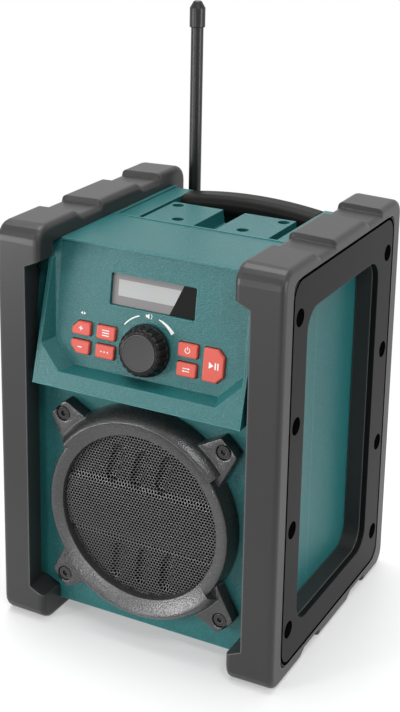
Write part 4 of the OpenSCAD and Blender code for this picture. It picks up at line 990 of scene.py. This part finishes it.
class RADIO_OT_display(bpy.types.Operator):
    """Display window: a pale field in a dark surround; a painted reflection greys the surround and
    keeps the field pale only left of a slanted edge, with both black to its right
    """

    bl_idname = "radio.display"
    bl_label = "Dress the display"

    def execute(self, context):
        look = settings()[0]
        material = bpy.data.materials.new("display_glass")
        material.use_nodes = True
        tree = material.node_tree
        link = tree.links.new
        shader = tree.nodes["Principled BSDF"]
        put(shader, Roughness=0.12, Specular_IOR_Level=0.2)
        coords = add(tree, "ShaderNodeTexCoord", -1500)
        # from the object's frame to the console's face: x across and y up the window
        inverse = PANEL.inverted()
        place = add(tree, "ShaderNodeMapping", -1300, vector_type="POINT")
        put(place, Location=inverse.translation, Rotation=inverse.to_euler())
        link(coords.outputs["Object"], place.inputs["Vector"])
        split = add(tree, "ShaderNodeSeparateXYZ", -1100)
        link(place.outputs["Vector"], split.inputs["Vector"])
        across, up = split.outputs["X"], split.outputs["Y"]

        # mask of the painted reflection: the side left of its slanted edge
        lean = maths(tree, "MULTIPLY_ADD", -950, -200, up, SLANT, across)
        left_side = maths(tree, "LESS_THAN", -700, -200, lean, REFLECTION_EDGE_AT)
        inside_left = maths(tree, "GREATER_THAN", -900, 200, across, FIELD_LEFT)
        above = maths(tree, "GREATER_THAN", -900, 50, up, FIELD_LOW)
        below = maths(tree, "LESS_THAN", -900, -50, up, FIELD_HIGH)
        field = maths(tree, "MULTIPLY", -700, 150, inside_left, above)
        field = maths(tree, "MULTIPLY", -550, 100, field, below)
        field = maths(tree, "MULTIPLY", -400, 400, field, left_side)

        tint = add(tree, "ShaderNodeTexNoise", -700, 400)
        put(tint, Scale=60.0, Detail=2.0)
        link(coords.outputs["Object"], tint.inputs["Vector"])
        # painted reflection: the black surround turns grey left of the slanted edge
        surround = add(tree, "ShaderNodeMix", -400, -100, data_type="RGBA")
        surround.inputs[COLOUR_A].default_value = (0.006, 0.006, 0.006, 1)
        surround.inputs[COLOUR_B].default_value = (0.25, 0.24, 0.24, 1)
        link(left_side, surround.inputs["Factor"])
        lit = add(tree, "ShaderNodeMix", -400, 200, data_type="RGBA", blend_type="MULTIPLY")
        put(lit, Factor=0.12)
        lit.inputs[COLOUR_A].default_value = (*look.display, 1)
        link(tint.outputs["Color"], lit.inputs[COLOUR_B])
        shown = add(tree, "ShaderNodeMix", -150, 50, data_type="RGBA")
        link(field, shown.inputs["Factor"])
        link(surround.outputs[COLOUR_OUT], shown.inputs[COLOUR_A])
        link(lit.outputs[COLOUR_OUT], shown.inputs[COLOUR_B])
        link(shown.outputs[COLOUR_OUT], shader.inputs["Base Color"])
        dress(material, "display_lens")
        dress(finish("display_back", (0.3, 0.31, 0.3), 0.5), "display_module")
        return {"FINISHED"}


class RADIO_OT_handle(bpy.types.Operator):
    """Handle grip and its steel rod, and the other bright steel pieces"""

    bl_idname = "radio.handle"
    bl_label = "Dress the handle"

    def execute(self, context):
        look = settings()[0]
        rubber = finish(
            "grip_rubber", look.grip, 0.42, grain=0.0005, bump=0.2, drift=0.15, edge=0.1,
            soften=0.0006, specular=0.08,
        )
        bright = finish(
            "bright_steel", (0.55, 0.55, 0.57), 0.3, grain=0.0006, bump=0.05, edge=0.1,
            soften=0.0002, metal=1.0,
        )
        dress(rubber, "handle_grip")
        dress(
            bright, "handle_rod", "encoder_shaft", "encoder_body", "tuner_shield",
            "battery_contacts", "door_pins", "antenna_pin",
        )
        return {"FINISHED"}


class RADIO_OT_antenna(bpy.types.Operator):
    """Antenna with its foot and knuckle, and the sockets"""

    bl_idname = "radio.antenna"
    bl_label = "Dress the antenna"

    def execute(self, context):
        look = settings()[0]
        rubber = finish(
            "antenna_rubber", look.antenna, 0.36, grain=0.0004, bump=0.1, drift=0.15, edge=0.1,
            soften=0.0004, specular=0.3,
        )
        plain = finish(
            "black_plastic", (0.02, 0.02, 0.021), 0.42, grain=0.0005, bump=0.15, edge=0.2,
            soften=0.0004,
        )
        dress(rubber, "antenna_rod", "antenna_tip")
        dress(plain, "antenna_base", "antenna_knuckle", "dc_socket", "aux_socket")
        return {"FINISHED"}


class RADIO_OT_insides(bpy.types.Operator):
    """Parts behind the console, the grille and the battery door, and the socket flap"""

    bl_idname = "radio.insides"
    bl_label = "Dress the inside"

    def execute(self, context):
        rubber = finish(
            "black_rubber", (0.018, 0.018, 0.018), 0.55, grain=0.0005, bump=0.15, edge=0.1
        )
        mask = finish("solder_mask", (0.015, 0.13, 0.05), 0.3, grain=0.0015, bump=0.1, edge=0.1)
        basket = finish(
            "basket_steel", (0.008, 0.008, 0.008), 0.5, bump=0.1, edge=0.0, specular=0.0
        )
        cone = finish(
            "cone_paper", (0.004, 0.004, 0.004), 0.8, grain=0.0012, bump=0.4, edge=0.0, specular=0.0
        )
        magnet = finish("ferrite", (0.05, 0.05, 0.052), 0.6, grain=0.0008, bump=0.3)
        jacket = finish("cell_jacket", (0.40, 0.27, 0.05), 0.3, grain=0.002, bump=0.05, drift=0.2)
        dress(rubber, "key_membrane", "socket_flap")
        dress(mask, "key_board", "main_board")
        dress(basket, "speaker_basket")
        dress(cone, "speaker_cone")
        dress(magnet, "speaker_magnet")
        dress(jacket, "battery_cells")
        return {"FINISHED"}


# ---- Studio ----


# softboxes: name, place, width, height and the setting that holds the power, in metres
LAMPS = (
    ("key_light", (-0.88, -0.86, 0.14), 0.5, 0.26, "key_power"),
    ("side_light", (0.66, -0.72, 1.15), 0.26, 0.34, "side_power"),
    ("ring_light", (-0.15, -1.35, 0.10), 0.18, 0.14, "ring_power"),
    ("fold_light", (-0.63, -1.14, 0.65), 0.17, 0.17, "fold_power"),
    ("rim_light", (1.35, 0.08, 0.2), 0.5, 0.35, "rim_power"),
    ("top_light", (-0.3, 0.35, 3.0), 2.4, 2.4, "top_power"),
)
LAMPS_AIM = (0, 0, 0.15)
FLOOR_RADIUS = 1.2
FLOOR_DROP = 0.0002
# distances from the middle between which the floor fades out
FADE_FROM, FADE_TO = 0.17, 0.5


def softbox(name, place, width, height, power):
    data = bpy.data.lights.new(name, "AREA")
    data.shape = "RECTANGLE"
    data.size = width
    data.size_y = height
    data.energy = power
    lamp = bpy.data.objects.new(name, data)
    lamp.location = place
    direction = Vector(LAMPS_AIM) - lamp.location
    lamp.rotation_euler = direction.to_track_quat("-Z", "Y").to_euler()
    bpy.context.scene.collection.objects.link(lamp)


def seen_rays(tree, x, y):
    """1 for a camera, glossy or transmission ray, and otherwise 0."""
    rays = add(tree, "ShaderNodeLightPath", x, y).outputs
    seen = maths(tree, "MAXIMUM", x + 200, y, rays["Is Camera Ray"], rays["Is Glossy Ray"])
    return maths(tree, "MAXIMUM", x + 400, y, seen, rays["Is Transmission Ray"])


def pale_world(ambient):
    """White where it is seen, and a dim even light on the object."""
    world = bpy.data.worlds.new("studio")
    world.use_nodes = True
    tree = world.node_tree
    tree.nodes.clear()
    link = tree.links.new
    seen = add(tree, "ShaderNodeBackground", 0, 100)
    put(seen, Color=(1, 1, 1, 1), Strength=1.0)
    around = add(tree, "ShaderNodeBackground", 0, -100)
    put(around, Color=(0.96, 0.98, 1.0, 1), Strength=ambient)
    mix = add(tree, "ShaderNodeMixShader", 200)
    link(seen_rays(tree, -600, 300), mix.inputs["Fac"])
    link(around.outputs[0], mix.inputs[1])
    link(seen.outputs[0], mix.inputs[2])
    link(mix.outputs[0], add(tree, "ShaderNodeOutputWorld", 400).inputs["Surface"])
    return world


def pale_floor(floor_white):
    """Pale and partly plain white where it is seen, so it keeps the shadow; it fades out."""
    material = bpy.data.materials.new("pale_floor")
    material.use_nodes = True
    tree = material.node_tree
    link = tree.links.new
    shader = tree.nodes["Principled BSDF"]
    put(shader, Base_Color=(0.94, 0.94, 0.94, 1), Roughness=0.4)
    white = add(tree, "ShaderNodeEmission", 100, 250)
    put(white, Color=(1, 1, 1, 1), Strength=1.0)
    share = maths(tree, "MULTIPLY", -100, 500, seen_rays(tree, -700, 500), floor_white)
    pale = add(tree, "ShaderNodeMixShader", 250, 150)
    link(share, pale.inputs["Fac"])
    link(shader.outputs[0], pale.inputs[1])
    link(white.outputs[0], pale.inputs[2])
    clear = add(tree, "ShaderNodeBsdfTransparent", 100, -300)
    coords = add(tree, "ShaderNodeTexCoord", -700)
    reach = add(tree, "ShaderNodeVectorMath", -500, operation="LENGTH")
    link(coords.outputs["Object"], reach.inputs[0])
    fade = add(tree, "ShaderNodeMapRange", -300, interpolation_type="SMOOTHSTEP")
    put(fade, From_Min=FADE_FROM, From_Max=FADE_TO)
    link(reach.outputs["Value"], fade.inputs["Value"])
    mix = add(tree, "ShaderNodeMixShader", 350)
    link(fade.outputs["Result"], mix.inputs["Fac"])
    link(pale.outputs[0], mix.inputs[1])
    link(clear.outputs[0], mix.inputs[2])
    link(mix.outputs[0], tree.nodes["Material Output"].inputs["Surface"])
    return material


class RADIO_OT_studio(bpy.types.Operator):
    """Camera, soft lights, pale floor and backdrop"""

    bl_idname = "radio.studio"
    bl_label = "Set up the studio"

    def execute(self, context):
        studio = settings()[2]
        scene = context.scene
        scene.view_settings.view_transform = "Standard"
        camera = bpy.data.cameras.new("camera")
        camera.lens = studio.lens
        camera.shift_y = studio.shift
        camera.clip_start = 0.01
        seat = bpy.data.objects.new("camera", camera)
        seat.location = studio.place
        seat.rotation_euler = [math.radians(a) for a in studio.turn]
        scene.collection.objects.link(seat)
        scene.camera = seat

        scene.world = pale_world(studio.ambient)
        for name, place, width, height, power in LAMPS:
            softbox(name, place, width, height, getattr(studio, power))

        mesh = bpy.data.meshes.new("floor")
        bm = bmesh.new()
        bmesh.ops.create_circle(bm, cap_ends=True, segments=96, radius=FLOOR_RADIUS)
        bm.to_mesh(mesh)
        bm.free()
        mesh.materials.append(pale_floor(studio.floor_white))
        floor = bpy.data.objects.new("floor", mesh)
        floor.location = (0, 0, -FLOOR_DROP)
        scene.collection.objects.link(floor)
        return {"FINISHED"}


class RADIO_PT_panel(bpy.types.Panel):
    """Lists the radio's steps"""

    bl_idname = "RADIO_PT_panel"
    bl_label = "Jobsite radio"
    bl_space_type = "VIEW_3D"
    bl_region_type = "UI"
    bl_category = "Radio"

    def draw(self, context):
        for step in STEPS:
            self.layout.operator(step.bl_idname)
        for group in settings():
            box = self.layout.box()
            for name in group.__annotations__:
                box.prop(group, name)


STEPS = (
    RADIO_OT_studio, RADIO_OT_housing, RADIO_OT_cages, RADIO_OT_plates, RADIO_OT_ring,
    RADIO_OT_grille, RADIO_OT_knob, RADIO_OT_keys, RADIO_OT_signs, RADIO_OT_display,
    RADIO_OT_handle, RADIO_OT_antenna, RADIO_OT_insides,
)
CLASSES = (RadioFinishes, RadioSizes, StudioSettings, *STEPS, RADIO_PT_panel)


def register():
    for cls in CLASSES:
        bpy.utils.register_class(cls)
    bpy.types.Scene.radio_finishes = PointerProperty(type=RadioFinishes)
    bpy.types.Scene.radio_sizes = PointerProperty(type=RadioSizes)
    bpy.types.Scene.radio_studio = PointerProperty(type=StudioSettings)


def unregister():
    for name in ("radio_finishes", "radio_sizes", "radio_studio"):
        delattr(bpy.types.Scene, name)
    for cls in reversed(CLASSES):
        bpy.utils.unregister_class(cls)


def main():
    register()
    for step in STEPS:
        family, name = step.bl_idname.split(".")
        getattr(getattr(bpy.ops, family), name)()


if __name__ == "__main__":
    main()
